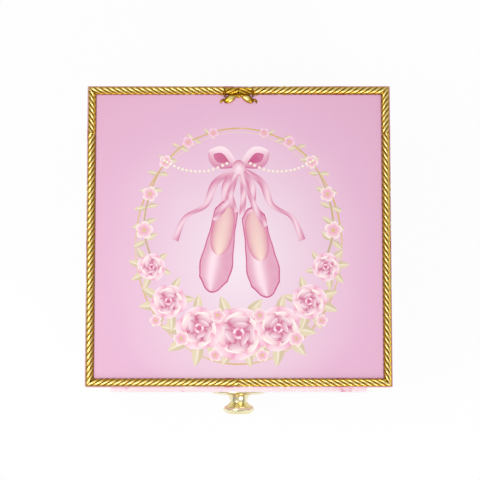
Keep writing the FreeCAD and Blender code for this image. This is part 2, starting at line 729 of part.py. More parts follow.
# hinges
case_leaves = []
lid_leaves = []
pins = []
case_spots = []
lid_spots = []
for side, sign in (("left", "-"), ("right", "")):
    middle = "%shinge_spread" % sign
    third = "hinge_length / 6"
    reach = (middle + " - hinge_length / 2", middle + " + hinge_length / 2")
    core = (middle + " - " + third + " + 0.15", middle + " + " + third + " - 0.15")
    wide_core = (middle + " - " + third, middle + " + " + third)
    leaf_y = ("back_y", "back_y + leaf_thick")
    spot = ("hinge_y", "hinge_z")
    barrel_hole = rod("hinge_bore_" + side, "x", "hinge_pin_radius + running_fit", reach, spot)
    tag = "case_leaf_" + side
    plate = box(tag + "_plate", reach, leaf_y, ("hinge_z - leaf_height", "hinge_z - 0.15"))
    knuckle = rod(tag + "_knuckle", "x", "knuckle_radius", reach, spot)
    relief = box(tag + "_relief", wide_core, ("back_y - 1", "hinge_y + 4"),
                 ("hinge_z - knuckle_radius - 0.3", "hinge_z + 4"))
    leaf_blank = fuse(tag + "_blank", [plate, knuckle])
    case_leaves.append(cut(tag, leaf_blank, [fuse(tag + "_away", [barrel_hole, relief])]))
    tag = "lid_leaf_" + side
    plate = box(tag + "_plate", reach, leaf_y, ("hinge_z + knuckle_radius + 0.3", "hinge_z + leaf_height"))
    tongue = box(tag + "_tongue", core, leaf_y, ("hinge_z", "hinge_z + knuckle_radius + 0.6"))
    knuckle = rod(tag + "_knuckle", "x", "knuckle_radius", core, spot)
    lid_bore = rod("lid_bore_" + side, "x", "hinge_pin_radius + running_fit", reach, spot)
    lid_leaves.append(cut(tag, fuse(tag + "_blank", [plate, tongue, knuckle]), [lid_bore]))
    pins.append(rod("hinge_pin_" + side, "x", "hinge_pin_radius", reach, spot))
    for end in ("-", "+"):
        case_spots.append((middle + " %s hinge_length * 0.32" % end, "hinge_z - leaf_height * 0.62"))
        lid_spots.append((middle + " %s hinge_length * 0.32" % end, "hinge_z + leaf_height * 0.68"))
hinge_holes = {}
for kind, spots in (("case", case_spots), ("lid", lid_spots)):
    hinge_holes[kind] = []
    for index, spot in enumerate(spots):
        name = "%s_leaf_hole_%d" % (kind, index + 1)
        hinge_holes[kind].append(rod(name, "y", "0.8", ("back_y - 3", "back_y + 3"), spot))
node(cut("hinge_case_leaves", group("case_leaf_pair", case_leaves), hinge_holes["case"]), "hinge_case_leaves")
node(cut("hinge_lid_leaves", group("lid_leaf_pair", lid_leaves), hinge_holes["lid"]), "hinge_lid_leaves")
node(group("hinge_pins", pins), "hinge_pins")
leaf_face = "back_y + leaf_thick"
hinge_head = ("1.35", "0.5")
node(screws("hinge_case_screws", "y", 1, case_spots, hinge_head, "0.8", leaf_face, "back_y"),
     "hinge_case_screws")
node(screws("hinge_lid_screws", "y", 1, lid_spots, hinge_head, "0.8", leaf_face, "back_y"),
     "hinge_lid_screws")

# drawer
front_body = pad("drawer_front_blank", "XZ_Plane", [
    ("-front_width / 2", "front_bottom"),
    ("front_width / 2", "front_bottom"),
    ("front_width / 2", "front_top"),
    ("-front_width / 2", "front_top"),
], "front_thick", "-front_back")
doc.recompute()
front_pad = front_body.Tip
face_y = mm("front_face")
rounded = [
    "Edge%d" % (index + 1)
    for index, edge in enumerate(front_pad.Shape.Edges)
    if all(abs(vertex.Point.y - face_y) < 0.01 for vertex in edge.Vertexes)
]
softening = front_body.newObject("PartDesign::Fillet", "drawer_front_rounding")
softening.Base = (front_pad, rounded)
softening.setExpression("Radius", named("front_edge"))
front_body.Tip = softening
screw_hole = rod("drawer_front_hole", "y", "knob_screw_radius + 0.2", ("front_face - 1", "front_back + 1"),
                 ("0", "knob_z"))
node(cut("drawer_front", front_body, [screw_hole]), "drawer_front")
drawer_top = "drawer_low + drawer_wall"
for side, low, high in (("left", "-drawer_half", "-drawer_half + drawer_board"),
                        ("right", "drawer_half - drawer_board", "drawer_half")):
    name = "drawer_side_" + side
    node(box(name, (low, high), ("front_back", "drawer_rear"), ("drawer_low", drawer_top)), name)
drawer_inner = ("-drawer_half + drawer_board", "drawer_half - drawer_board")
node(box("drawer_back", drawer_inner, ("drawer_rear - drawer_board", "drawer_rear"), ("drawer_low", drawer_top)),
     "drawer_back")
drawer_run = ("front_back", "drawer_rear - drawer_board")
place("drawer_floor", "drawer_low + drawer_board * 0.75")
node(box("drawer_bottom", drawer_inner, drawer_run, ("drawer_low", "drawer_floor")), "drawer_bottom")
node(box("drawer_lining", drawer_inner, drawer_run, ("drawer_floor", "drawer_floor + lining_thick")),
     "drawer_lining")

# knob on its rosette
node(put(turned("knob_rosette", "y", [
    ("knob_screw_radius + 0.2", "rosette_face"),
    ("collar_radius + 0.6", "rosette_face", "rosette_radius * 0.9"),
    ("rosette_radius", "front_face - 0.45"),
    ("rosette_radius", "front_face"),
    ("knob_screw_radius + 0.2", "front_face"),
]), z="knob_z"), "knob_rosette")
node(put(turned("knob", "y", [
    ("0", "knob_end"),
    ("head_radius * 0.66", "knob_end", "knob_length * 0.8"),
    ("head_radius", "knob_end + knob_length * 0.22", "knob_length * 0.2"),
    ("head_radius * 0.9", "knob_end + knob_length * 0.4", "-knob_length * 0.7"),
    ("waist_radius", "knob_end + knob_length * 0.62", "-knob_length * 0.5"),
    ("collar_radius", "rosette_face"),
    ("knob_screw_radius", "rosette_face"),
    ("knob_screw_radius", "rosette_face - 5.4"),
    ("0", "rosette_face - 5.4"),
]), z="knob_z"), "knob")
node(screws("knob_screw", "y", 1, [("0", "knob_z")], ("3", "1.5"), "knob_screw_radius", "front_back",
            "rosette_face - 5"), "knob_screw")

# bedplate with the bearing bridge and the comb seat
bed_parts = [
    box("bed_plate", ("-bed_left", "governor_right"), ("bed_front", "inner_y"), ("bed_low", "bridge_low + 1.6")),
    box("bridge_arm", ("6", "8.2"), ("drum_y - 2", "bed_front + 0.5"), ("bridge_low", "bridge_low + 1.6")),
    box("bridge_drop", ("6", "8.2"), ("drum_y - 2", "drum_y + 2"), ("axis_z - 2.4", "bridge_low + 1")),
    box("comb_seat", ("drum_start", "drum_end"), ("drum_y + comb_thick / 2", "bed_front + 0.5"),
        ("comb_low - 0.2", "comb_root - 0.4")),
]
comb_spots = [("drum_start + 4", "comb_low + comb_root_height / 2 - 0.2"),
              ("drum_end - 4", "comb_low + comb_root_height / 2 - 0.2")]
bed_tools = [
    rod("bed_arbor_hole", "y", "arbor_radius + running_fit", ("bed_front - 1", "inner_y + 1"), ("0", "axis_z")),
    rod("bridge_hole", "x", "drum_arbor_radius + running_fit", ("5", "9"), ("drum_y", "axis_z")),
]
for index, spot in enumerate(bed_spots):
    bed_tools.append(rod("bed_screw_hole_%d" % (index + 1), "y", "1", ("bed_front - 0.5", "inner_y + 1"), spot))
for index, spot in enumerate(comb_spots):
    bed_tools.append(rod("seat_hole_%d" % (index + 1), "y", "0.8", ("drum_y", "drum_y + 6"), spot))
node(cut("bedplate", fuse("bed_blank", bed_parts), bed_tools), "bedplate")
node(screws("bedplate_screws", "y", 1, bed_spots, ("2", "1.2"), "1", "back_y", "bed_front"),
     "bedplate_screws")

# spring barrel with crown teeth
cup = put(turned("barrel_cup", "y", [
    ("arbor_radius + running_fit", "crown_root"),
    ("barrel_radius", "crown_root"),
    ("barrel_radius", "barrel_back"),
    ("barrel_radius - barrel_wall", "barrel_back"),
    ("barrel_radius - barrel_wall", "crown_root + barrel_wall"),
    ("arbor_radius + running_fit", "crown_root + barrel_wall"),
]), z="axis_z")


def crown_tooth(angle):
    rings = []
    module = mm("gear_module")
    pitch_radius = mm("crown_radius")
    levels = ((mm("crown_root") + 0.2, -1.3 * module - 0.2), (mm("crown_pitch") - 0.65 * module, 0.65 * module))
    for radius in (pitch_radius - mm("crown_face") / 2 + 0.05, pitch_radius + mm("crown_face") / 2 - 0.05):
        corners = []
        for (level, rise), signs in zip(levels, ((-1, 1), (1, -1))):
            half = TOOTH_SHARE * math.pi * radius / CROWN_TEETH
            half -= rise * math.tan(PRESSURE_ANGLE) * radius / pitch_radius
            for sign in signs:
                spot = Vec(radius * math.cos(half / radius), level, sign * radius * math.sin(half / radius))
                corners.append(spot)
        rings.append(Part.makePolygon(corners + [corners[0]]))
    tooth = Part.makeLoft(rings, True, True)
    tooth.rotate(Vec(), Vec(0, 1, 0), angle)
    return tooth


crown = shaped("crown_teeth", Part.makeCompound([
    crown_tooth(360 * index / CROWN_TEETH) for index in range(CROWN_TEETH)
]))
put(crown, z="axis_z")
node(fuse("spring_barrel", [cup, crown]), "spring_barrel")


def flat_spiral(first, last, spacing, strip, height):
    # half turns about two centres in turn, each larger by half the spacing
    grow = spacing / 2
    outer = []
    inner = []
    radius = first
    while radius < last:
        odd = len(outer) % 2
        side = -1 if odd else 1
        centre = Vec(grow * odd, 0, 0)
        for edges, bend in ((outer, radius + strip / 2), (inner, radius - strip / 2)):
            start = centre + Vec(side * bend, 0, 0)
            stop = centre - Vec(side * bend, 0, 0)
            edges.append(Part.Arc(start, centre + Vec(0, side * bend, 0), stop).toShape())
        radius += grow
    caps = [
        Part.makeLine(inner[0].Vertexes[0].Point, outer[0].Vertexes[0].Point),
        Part.makeLine(inner[-1].Vertexes[-1].Point, outer[-1].Vertexes[-1].Point),
    ]
    wire = Part.Wire(Part.__sortEdges__(outer + inner + caps))
    return Part.Face(wire).extrude(Vec(0, 0, height))


spring_room = mm("barrel_radius - barrel_wall - 0.3 - spring_spacing / 2 - spring_strip")
mainspring = shaped("mainspring", flat_spiral(mm("arbor_radius + 0.4 + spring_strip"), spring_room,
                                              mm("spring_spacing"), mm("spring_strip"),
                                              mm("barrel_depth - barrel_wall - 0.6")))
mainspring.Placement = FreeCAD.Placement(Vec(), AXIS_TURN["y"])
node(put(mainspring, "0", "crown_root + barrel_wall + 0.3", "axis_z"), "mainspring")

# winding arbor and key
place("key_start", "back_y + key_gap")
place("key_middle", "key_start + key_hub_length + 2.2")
node(rod("winding_arbor", "y", "arbor_radius", ("crown_root - 0.5", "key_start + 4"), ("0", "axis_z")),
     "winding_arbor")
key_parts = [
    rod("key_hub", "y", "key_hub_radius", ("key_start", "key_start + key_hub_length"), ("0", "axis_z")),
    box("key_bar", ("-key_spread", "key_spread"), ("key_start + 3.5", "key_middle + 2"),
        ("axis_z - key_thick / 2", "axis_z + key_thick / 2")),
]
key_tools = [rod("key_bore", "y", "arbor_radius", ("key_start - 1", "key_start + 4"), ("0", "axis_z"))]
for side, sign in (("left", "-"), ("right", "")):
    spot = (sign + "key_spread", "key_middle")
    wing_run = ("axis_z - key_thick / 2", "axis_z + key_thick / 2")
    key_parts.append(rod("key_wing_" + side, "z", "key_lobe", wing_run, spot))
    key_tools.append(rod("key_eye_" + side, "z", "key_lobe * 0.42", ("axis_z - 5", "axis_z + 5"), spot))
node(cut("winding_key", fuse("key_blank", key_parts), key_tools), "winding_key")

# pinned cylinder, its gear and the comb
drum_pinion = crown_pinion("drum_pinion")
drum_pinion.Placement = FreeCAD.Placement(Vec(), SHAFT_X)
put(drum_pinion, "crown_radius - pinion_face / 2", "drum_y", "axis_z")


def drum_pin(track, turn):
    side = mm("pin_side")
    start = mm("drum_radius") - 0.3
    tall = mm("pin_height") + 0.3
    pin = Part.makeBox(side, side, tall, Vec(-side / 2, -side / 2, start))
    golden = 137.508
    pin.rotate(Vec(), Vec(1, 0, 0), golden * (track * PINS_PER_TRACK + turn))
    pin.translate(Vec(mm("comb_start") + (track + 0.5) * mm("comb_pitch"), 0, 0))
    return pin


drum_pins = shaped("drum_pins", Part.makeCompound([
    drum_pin(track, turn) for track in range(COMB_TEETH) for turn in range(PINS_PER_TRACK)
]))
put(drum_pins, "0", "drum_y", "axis_z")
drum_at = ("drum_y", "axis_z")
drum_core = rod("drum_core", "x", "drum_radius", ("drum_start", "drum_end"), drum_at)
drum_arbor = rod("drum_arbor", "x", "drum_arbor_radius", ("6.2", "governor_left + 3"), drum_at)
node(fuse("music_cylinder", [drum_core, drum_arbor, drum_pinion, drum_pins]), "music_cylinder")
drum_module = mm("drum_module")
wheel = shaped("drum_wheel", gear(DRUM_GEAR_TEETH, drum_module, 0.65 * drum_module, 1.3 * drum_module,
                                  mm("drum_gear_face")))
wheel.Placement = FreeCAD.Placement(Vec(), SHAFT_X)
put(wheel, "gear_start", "drum_y", "axis_z")
wheel_bore = rod("drum_wheel_bore", "x", "drum_arbor_radius", ("gear_start - 1", "gear_end + 1"), drum_at)
node(cut("cylinder_gear", wheel, [wheel_bore]), "cylinder_gear")

comb = pad("comb_blank", "XZ_Plane", [
    ("drum_start", "comb_low"),
    ("drum_end", "comb_low"),
    ("drum_end", "comb_root"),
    ("drum_start", "comb_root"),
], "comb_thick", "-drum_y - comb_thick / 2")
tooth_outline = outline(comb, "comb_tooth_outline", "XZ_Plane", [
    ("comb_start + comb_slot / 2", "comb_root - 0.5"),
    ("comb_start + comb_pitch - comb_slot / 2", "comb_root - 0.5"),
    ("comb_start + comb_pitch - comb_slot / 2", "comb_tip"),
    ("comb_start + comb_slot / 2", "comb_tip"),
], "-drum_y - comb_thick * 0.3")
tooth = comb.newObject("PartDesign::Pad", "comb_tooth")
tooth.Profile = tooth_outline
tooth.setExpression("Length", named("comb_thick * 0.6"))
comb.Tip = tooth
doc.recompute()
row = comb.newObject("PartDesign::LinearPattern", "comb_row")
row.Originals = [tooth]
row.Direction = (tooth_outline, ["H_Axis"])
row.setExpression("Length", named("comb_pitch * %d" % (COMB_TEETH - 1)))
row.Occurrences = COMB_TEETH
comb.Tip = row
comb_holes = []
for index, spot in enumerate(comb_spots):
    comb_holes.append(rod("comb_hole_%d" % (index + 1), "y", "0.8", ("drum_y - 3", "drum_y + 3"), spot))
node(cut("comb", comb, comb_holes), "comb")
node(screws("comb_screws", "y", -1, comb_spots, ("1.6", "1"), "0.8",
            "drum_y - comb_thick / 2", "drum_y + 5.5"),
     "comb_screws")

# governor
governor_blank = box("governor_blank", ("governor_left", "governor_right"), ("drum_y - 6", "bed_front"),
                     ("governor_z - 5", "governor_top"))
governor_at = ("drum_y", "governor_z")
node(cut("governor_housing", governor_blank, [
    rod("governor_drum_hole", "x", "drum_arbor_radius + running_fit",
        ("governor_left - 1", "governor_left + 3.3"),
        drum_at),
    rod("governor_pinion_hole", "x", "governor_arbor_radius + running_fit",
        ("governor_left - 1", "governor_left + 4.3"), governor_at),
    rod("governor_fan_hole", "z", "governor_arbor_radius + running_fit",
        ("governor_top - 4", "governor_top + 1"),
        ("fan_x", "fan_y")),
]), "governor_housing")
small_wheel = shaped("governor_wheel", gear(PINION_TEETH, drum_module, drum_module, 0.95 * drum_module,
                                            mm("drum_gear_face"), phase=0))
small_wheel.Placement = FreeCAD.Placement(Vec(), SHAFT_X)
put(small_wheel, "gear_start", "drum_y", "governor_z")
small_arbor = rod("governor_arbor", "x", "governor_arbor_radius", ("gear_start - 0.5", "governor_left + 4"),
                  governor_at)
node(fuse("governor_pinion", [small_wheel, small_arbor]), "governor_pinion")
fan_disc = put(turned("fan_disc", "z", [
    ("0", "governor_top - 3.7"),
    ("governor_arbor_radius", "governor_top - 3.7"),
    ("governor_arbor_radius", "fan_low"),
    ("fan_radius", "fan_low"),
    ("fan_radius", "fan_top"),
    ("1.4", "fan_top"),
    ("1.4", "fan_top + 2.6"),
    ("0", "fan_top + 2.6"),
]), "fan_x", "fan_y")
fan_vane = box("fan_vane", ("fan_x - 2.6", "fan_x + 2.6"), ("fan_y - 0.3", "fan_y + 0.3"),
               ("fan_top - 0.3", "fan_top + 2.3"))
node(fuse("governor_fan", [fan_disc, fan_vane]), "governor_fan")

# dancer spindle in its bush
node(put(turned("spindle_bush", "z", [
    ("spindle_radius + running_fit", "bush_low"),
    ("spindle_radius + 1.4", "bush_low"),
    ("spindle_radius + 1.4", "stage_top"),
    ("spindle_radius + 2.8", "stage_top"),
    ("spindle_radius + 2.8", "flange_top"),
    ("spindle_radius + running_fit", "flange_top"),
]), "0", "drum_y"), "spindle_bush")
spindle_stem = put(turned("spindle_stem", "z", [
    ("0", "spindle_low"),
    ("spindle_radius", "spindle_low"),
    ("spindle_radius", "flange_top + 0.2"),
    ("spindle_disc", "flange_top + 0.2"),
    ("spindle_disc", "coil_base"),
    ("0", "coil_base"),
]), "0", "drum_y")
spindle_pinion = put(crown_pinion("spindle_pinion"), "0", "drum_y", "axis_z + crown_radius - pinion_face / 2")
node(fuse("dancer_spindle", [spindle_stem, spindle_pinion]), "dancer_spindle")
dancer_coil = coil("dancer_spring", mm("coil_radius"), mm("coil_wire"), mm("coil_height"), COIL_TURNS)
node(put(dancer_coil, "0", "drum_y", "coil_base"), "dancer_spring")

# dancer: level, half width and half depth of the body, as shares of the height of the figure
FIGURE = (
    ("toe", 0.02, 0.016, 0.016),
    ("ankle", 0.085, 0.021, 0.021),
    ("calf", 0.21, 0.036, 0.034),
    ("knee", 0.31, 0.030, 0.029),
    ("thigh", 0.42, 0.046, 0.042),
    ("hip", 0.53, 0.064, 0.052),
    ("waist", 0.61, 0.043, 0.034),
    ("chest", 0.69, 0.060, 0.044),
    ("shoulder", 0.74, 0.064, 0.030),
)
HEAD = (0.845, 0.042, 0.046, 0.052)
BUN = (0.9, 0.03, 0.026)


def stature(share):
    return "figure_base + %s * figure_height" % share


sections = []
for part_name, level, wide, deep in FIGURE:
    ring = doc.addObject("Part::Ellipse", "figure_" + part_name)
    ring.setExpression("MajorRadius", named("%s * figure_height" % (wide * 1.0001)))
    ring.setExpression("MinorRadius", named("%s * figure_height" % deep))
    sections.append(put(ring, "0", "drum_y", stature(level)))
figure_body = doc.addObject("Part::Loft", "figure_body")
figure_body.Sections = sections
figure_body.Solid = True
neck = rod("figure_neck", "z", "0.019 * figure_height", (stature(0.73), stature(0.81)), ("0", "drum_y"))
foot = rod("figure_foot", "z", "coil_radius + 0.7", ("figure_base", stature(0.02) + " + 0.208"),
           ("0", "drum_y"))
head = doc.addObject("Part::Ellipsoid", "figure_head")
for radius_name, share in (("Radius1", HEAD[3]), ("Radius2", HEAD[1]), ("Radius3", HEAD[2])):
    head.setExpression(radius_name, named("%s * figure_height" % share))
put(head, "0", "drum_y", stature(HEAD[0]))
bun = doc.addObject("Part::Sphere", "figure_bun")
bun.setExpression("Radius", named("%s * figure_height" % BUN[2]))
put(bun, "0", "drum_y + %s * figure_height" % BUN[1], stature(BUN[0]))


def raised_arm(name, side):
    tall = mm("figure_height")
    shoulder = Vec(side * 0.055, 0, 0.725) * tall
    elbow = Vec(side * 0.115, -0.02, 0.86) * tall
    hand = Vec(side * 0.022, -0.035, 0.975) * tall
    bend = Part.Arc(shoulder, elbow, hand)
    start = bend.tangent(bend.FirstParameter)[0]
    ring = Part.Wire(Part.makeCircle(0.0135 * tall, shoulder, start))
    arm = shaped(name, Part.Wire(bend.toShape()).makePipeShell([ring], True, False))
    return put(arm, "0", "drum_y", "figure_base")


arms = [raised_arm("figure_arm_left", -1), raised_arm("figure_arm_right", 1)]
node(fuse("dancer_figure", [figure_body, neck, foot, head, bun] + arms), "dancer_figure")


def pleated_skirt():
    inner = mm("%s * figure_height" % 0.066) + 0.15
    outer = mm("tutu_radius")
    thick = mm("tutu_thick")
    rings = (0.0, 0.5, 1.0)
    count = 2 * PLEATS
    layers = []
    for lift in (thick / 2, -thick / 2):
        layer = []
        for share in rings:
            radius = inner + (outer - inner) * share
            drop = mm("tutu_drop") * share ** 2
            ripple = mm("tutu_ripple") * share
            layer.append([
                Vec(radius * math.cos(2 * math.pi * step / count), radius * math.sin(2 * math.pi * step / count),
                    lift - drop + ripple * (-1) ** step)
                for step in range(count)
            ])
        layers.append(layer)
    faces = []
    top, bottom = layers
    for step in range(count):
        after = (step + 1) % count
        bands = [(layer[ring], layer[ring + 1]) for layer in layers for ring in range(len(rings) - 1)]
        bands += [(top[0], bottom[0]), (top[-1], bottom[-1])]
        for one, two in bands:
            faces.append(polygon_face([one[step], two[step], two[after]]))
            faces.append(polygon_face([one[step], two[after], one[after]]))
    shell = Part.makeCompound(faces)
    shell.sewShape()
    skirt = Part.Solid(shell.Shells[0])
    if skirt.Volume < 0:
        skirt.reverse()
    return skirt


node(put(shaped("dancer_tutu", pleated_skirt()), "0", "drum_y", "tutu_level"), "dancer_tutu")

# stop plunger in its guide
node(put(turned("plunger_guide", "z", [
    ("plunger_radius + running_fit", "bush_low"),
    ("plunger_radius + 2", "bush_low"),
    ("plunger_radius + 2", "stage_top"),
    ("plunger_radius + 3", "stage_top"),
    ("plunger_radius + 3", "flange_top"),
    ("plunger_radius + 1.3", "flange_top"),
    ("plunger_radius + 1.3", "return_seat"),
    ("plunger_radius + running_fit", "return_seat"),
]), "plunger_x", "plunger_y"), "plunger_guide")
node(put(turned("stop_plunger", "z", [
    ("0", "plunger_low"),
    ("1.6", "plunger_low"),
    ("1.6", "plunger_low + 1.4"),
    ("plunger_radius", "plunger_low + 1.4"),
    ("plunger_radius", "return_collar"),
    ("plunger_radius + 1", "return_collar"),
    ("plunger_radius + 1", "return_collar + 1"),
    ("plunger_radius", "return_collar + 1"),
    ("plunger_radius", "plunger_top"),
    ("0", "plunger_top"),
]), "plunger_x", "plunger_y"), "stop_plunger")
return_coil = coil("plunger_spring", mm("plunger_radius + 0.65"), mm("return_wire"),
                   mm("return_collar - return_seat"), RETURN_TURNS)
node(put(return_coil, "plunger_x", "plunger_y", "return_seat"), "plunger_spring")

doc.recompute()
for item in doc.Objects:
    if "Invalid" in item.State or "Error" in item.State:
        raise RuntimeError("%s did not build" % item.Name)
for item in nodes:
    if item.Shape.isNull() or not item.Shape.isValid() or item.Shape.Volume <= 0:
        raise RuntimeError("%s is not a sound solid" % item.Label)
    item.Shape.exportStep("parts/%s.step" % item.Label)
print("%d pieces written" % len(nodes))
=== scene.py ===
import bpy
import math
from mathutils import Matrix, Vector


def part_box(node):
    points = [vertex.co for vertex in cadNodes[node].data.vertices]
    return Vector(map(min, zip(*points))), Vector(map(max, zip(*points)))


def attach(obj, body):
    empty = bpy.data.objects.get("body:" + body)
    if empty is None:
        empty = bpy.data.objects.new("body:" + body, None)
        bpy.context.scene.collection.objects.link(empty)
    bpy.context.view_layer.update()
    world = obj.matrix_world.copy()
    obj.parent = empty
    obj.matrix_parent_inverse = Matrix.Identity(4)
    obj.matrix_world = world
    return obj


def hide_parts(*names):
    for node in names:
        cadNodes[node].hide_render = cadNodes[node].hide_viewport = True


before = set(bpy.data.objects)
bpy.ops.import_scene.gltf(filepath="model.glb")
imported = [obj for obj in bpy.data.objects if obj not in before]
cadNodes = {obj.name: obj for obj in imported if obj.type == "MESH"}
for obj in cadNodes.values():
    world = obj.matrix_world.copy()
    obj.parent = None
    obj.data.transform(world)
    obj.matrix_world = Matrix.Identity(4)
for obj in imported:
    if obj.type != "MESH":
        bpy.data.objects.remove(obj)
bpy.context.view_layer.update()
mm = 0.001

# where things are, read from the frame
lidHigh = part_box("lid_board")[1]
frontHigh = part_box("drawer_front")[1]
lidTop = lidHigh.z
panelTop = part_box("lid_picture")[1].z


def clearSelection():
    if bpy.context.mode != "OBJECT":
        bpy.ops.object.mode_set(mode="OBJECT")
    bpy.ops.object.select_all(action="DESELECT")


def pickOnly(obj):
    clearSelection()
    obj.select_set(True)
    bpy.context.view_layer.objects.active = obj


def newest(name):
    obj = bpy.context.active_object
    obj.name = name
    obj.data.name = name
    return obj


def settle(obj):
    pickOnly(obj)
    bpy.ops.object.transform_apply(location=True, rotation=True, scale=True)
    return obj


def applyModifier(obj, kind, **values):
    pickOnly(obj)
    bpy.ops.object.modifier_add(type=kind)
    modifier = obj.modifiers[-1]
    for key, value in values.items():
        setattr(modifier, key, value)
    bpy.ops.object.modifier_apply(modifier=modifier.name)
    return obj


def roundOff(obj):
    applyModifier(obj, "SUBSURF", levels=2, render_levels=2)
    pickOnly(obj)
    bpy.ops.object.shade_smooth()
    return obj


def outward(obj):
    pickOnly(obj)
    bpy.ops.object.mode_set(mode="EDIT")
    bpy.ops.mesh.select_all(action="SELECT")
    bpy.ops.mesh.remove_doubles(threshold=0.01 * mm)
    bpy.ops.mesh.normals_make_consistent(inside=False)
    bpy.ops.object.mode_set(mode="OBJECT")
    return obj


def copyOf(obj, name):
    pickOnly(obj)
    bpy.ops.object.duplicate()
    return newest(name)


def together(parts, name):
    clearSelection()
    for part in parts:
        part.select_set(True)
    bpy.context.view_layer.objects.active = parts[0]
    if len(parts) > 1:
        bpy.ops.object.join()
    return newest(name)


def cutAway(obj, point, normal, fill=True):
    # takes off what lies on the side the normal points to
    pickOnly(obj)
    bpy.ops.object.mode_set(mode="EDIT")
    bpy.ops.mesh.select_all(action="SELECT")
    bpy.ops.mesh.bisect(plane_co=point, plane_no=normal, use_fill=fill, clear_outer=True)
    bpy.ops.object.mode_set(mode="OBJECT")


def place(obj, body, slot, material, *nodes):
    settle(obj)
    obj.data.materials.clear()
    obj.data.materials.append(material)
    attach(obj, body)
    if nodes:
        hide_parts(*nodes)
    return obj


def limb(name, rings, sides):
    # a closed tube through rings of (x, y, z, half width, half depth), all in millimetres
    x, y, z, wide, deep = rings[0]
    bpy.ops.mesh.primitive_circle_add(vertices=sides, radius=mm, fill_type="NGON",
                                      location=(x * mm, y * mm, z * mm))
    obj = newest(name)
    obj.scale = (wide, deep, 1)
    settle(obj)
    bpy.ops.object.mode_set(mode="EDIT")
    bpy.ops.mesh.select_all(action="SELECT")
    for before, after in zip(rings, rings[1:]):
        step = [(b - a) * mm for a, b in zip(before[:3], after[:3])]
        centre = [value * mm for value in after[:3]]
        grow = (after[3] / before[3], after[4] / before[4], 1)
        bpy.ops.mesh.extrude_region_move(TRANSFORM_OT_translate={"value": step})
        bpy.ops.transform.resize(value=grow, center_override=centre)
    bpy.ops.mesh.select_all(action="SELECT")
    bpy.ops.mesh.normals_make_consistent(inside=False)
    bpy.ops.object.mode_set(mode="OBJECT")
    return obj


def clamp(value, low=0.0):
    return min(max(value, low), 1.0)


def eased(share):
    # slow at both ends
    return 0.5 - 0.5 * math.cos(math.pi * clamp(share))


def linear(rgb):
    # a screen colour, 0 to 255, as the linear colour that shaders take
    shares = [value / 255 for value in rgb]
    return tuple(c / 12.92 if c <= 0.04045 else ((c + 0.055) / 1.055) ** 2.4 for c in shares) + (1,)


# node helpers

def newGroup(name, inputs, outputs):
    group = bpy.data.node_groups.new(name, "ShaderNodeTree")
    for label, kind, value in inputs:
        socket = group.interface.new_socket(name=label, in_out="INPUT", socket_type=kind)
        if value is not None:
            socket.default_value = value
    for label, kind in outputs:
        group.interface.new_socket(name=label, in_out="OUTPUT", socket_type=kind)
    return group, group.nodes.new("NodeGroupInput"), group.nodes.new("NodeGroupOutput")


def mathNode(tree, operation, first, second=None, third=None):
    node = tree.nodes.new("ShaderNodeMath")
    node.operation = operation
    for index, value in enumerate((first, second, third)):
        if value is None:
            continue
        if isinstance(value, (int, float)):
            node.inputs[index].default_value = value
        else:
            tree.links.new(value, node.inputs[index])
    return node.outputs[0]


def mixColor(tree, factor, one, two):
    node = tree.nodes.new("ShaderNodeMix")
    node.data_type = "RGBA"
    for socket, value in ((node.inputs[0], factor), (node.inputs[6], one), (node.inputs[7], two)):
        if isinstance(value, (int, float, tuple)):
            socket.default_value = value
        else:
            tree.links.new(value, socket)
    return node.outputs[2]


def rampNode(tree, factor, stops):
    node = tree.nodes.new("ShaderNodeValToRGB")
    ramp = node.color_ramp
    while len(ramp.elements) < len(stops):
        ramp.elements.new(0.5)
    for element, (spot, color) in zip(ramp.elements, stops):
        element.position = spot
        element.color = color
    tree.links.new(factor, node.inputs[0])
    return node.outputs[0]


def noiseNode(tree, vector, scale, detail=3, roughness=0.5):
    node = tree.nodes.new("ShaderNodeTexNoise")
    node.inputs["Scale"].default_value = scale
    node.inputs["Detail"].default_value = detail
    node.inputs["Roughness"].default_value = roughness
    tree.links.new(vector, node.inputs["Vector"])
    return node.outputs["Fac"]


def objectPlace(tree):
    return tree.nodes.new("ShaderNodeTexCoord").outputs["Object"]


def splitPlace(tree):
    # the place on the object, whole and as its three parts
    spot = objectPlace(tree)
    parts = tree.nodes.new("ShaderNodeSeparateXYZ")
    tree.links.new(spot, parts.inputs[0])
    return spot, parts.outputs["X"], parts.outputs["Y"], parts.outputs["Z"]


# shader groups shared by several finishes

def makeGrainGroup():
    # fine tooth of paper, cast metal or moulded plastic: a height and a slow tint
    group, inside, outside = newGroup(
        "surfaceGrain",
        (("Scale", "NodeSocketFloat", 2500), ("Mottle", "NodeSocketFloat", 60)),
        (("Height", "NodeSocketFloat"), ("Tint", "NodeSocketFloat")))
    spot = objectPlace(group)
    for label, result, detail in (("Scale", "Height", 4), ("Mottle", "Tint", 3)):
        noise = group.nodes.new("ShaderNodeTexNoise")
        noise.inputs["Detail"].default_value = detail
        group.links.new(spot, noise.inputs["Vector"])
        group.links.new(inside.outputs[label], noise.inputs["Scale"])
        group.links.new(noise.outputs["Fac"], outside.inputs[result])
    return group


sprigLook = {
    "jitter": 0.75,
    "petals": 5,
    "notch": 0.55,
    "least": 0.5,
    "spread": 0.6,
    "heart": 0.26,
}


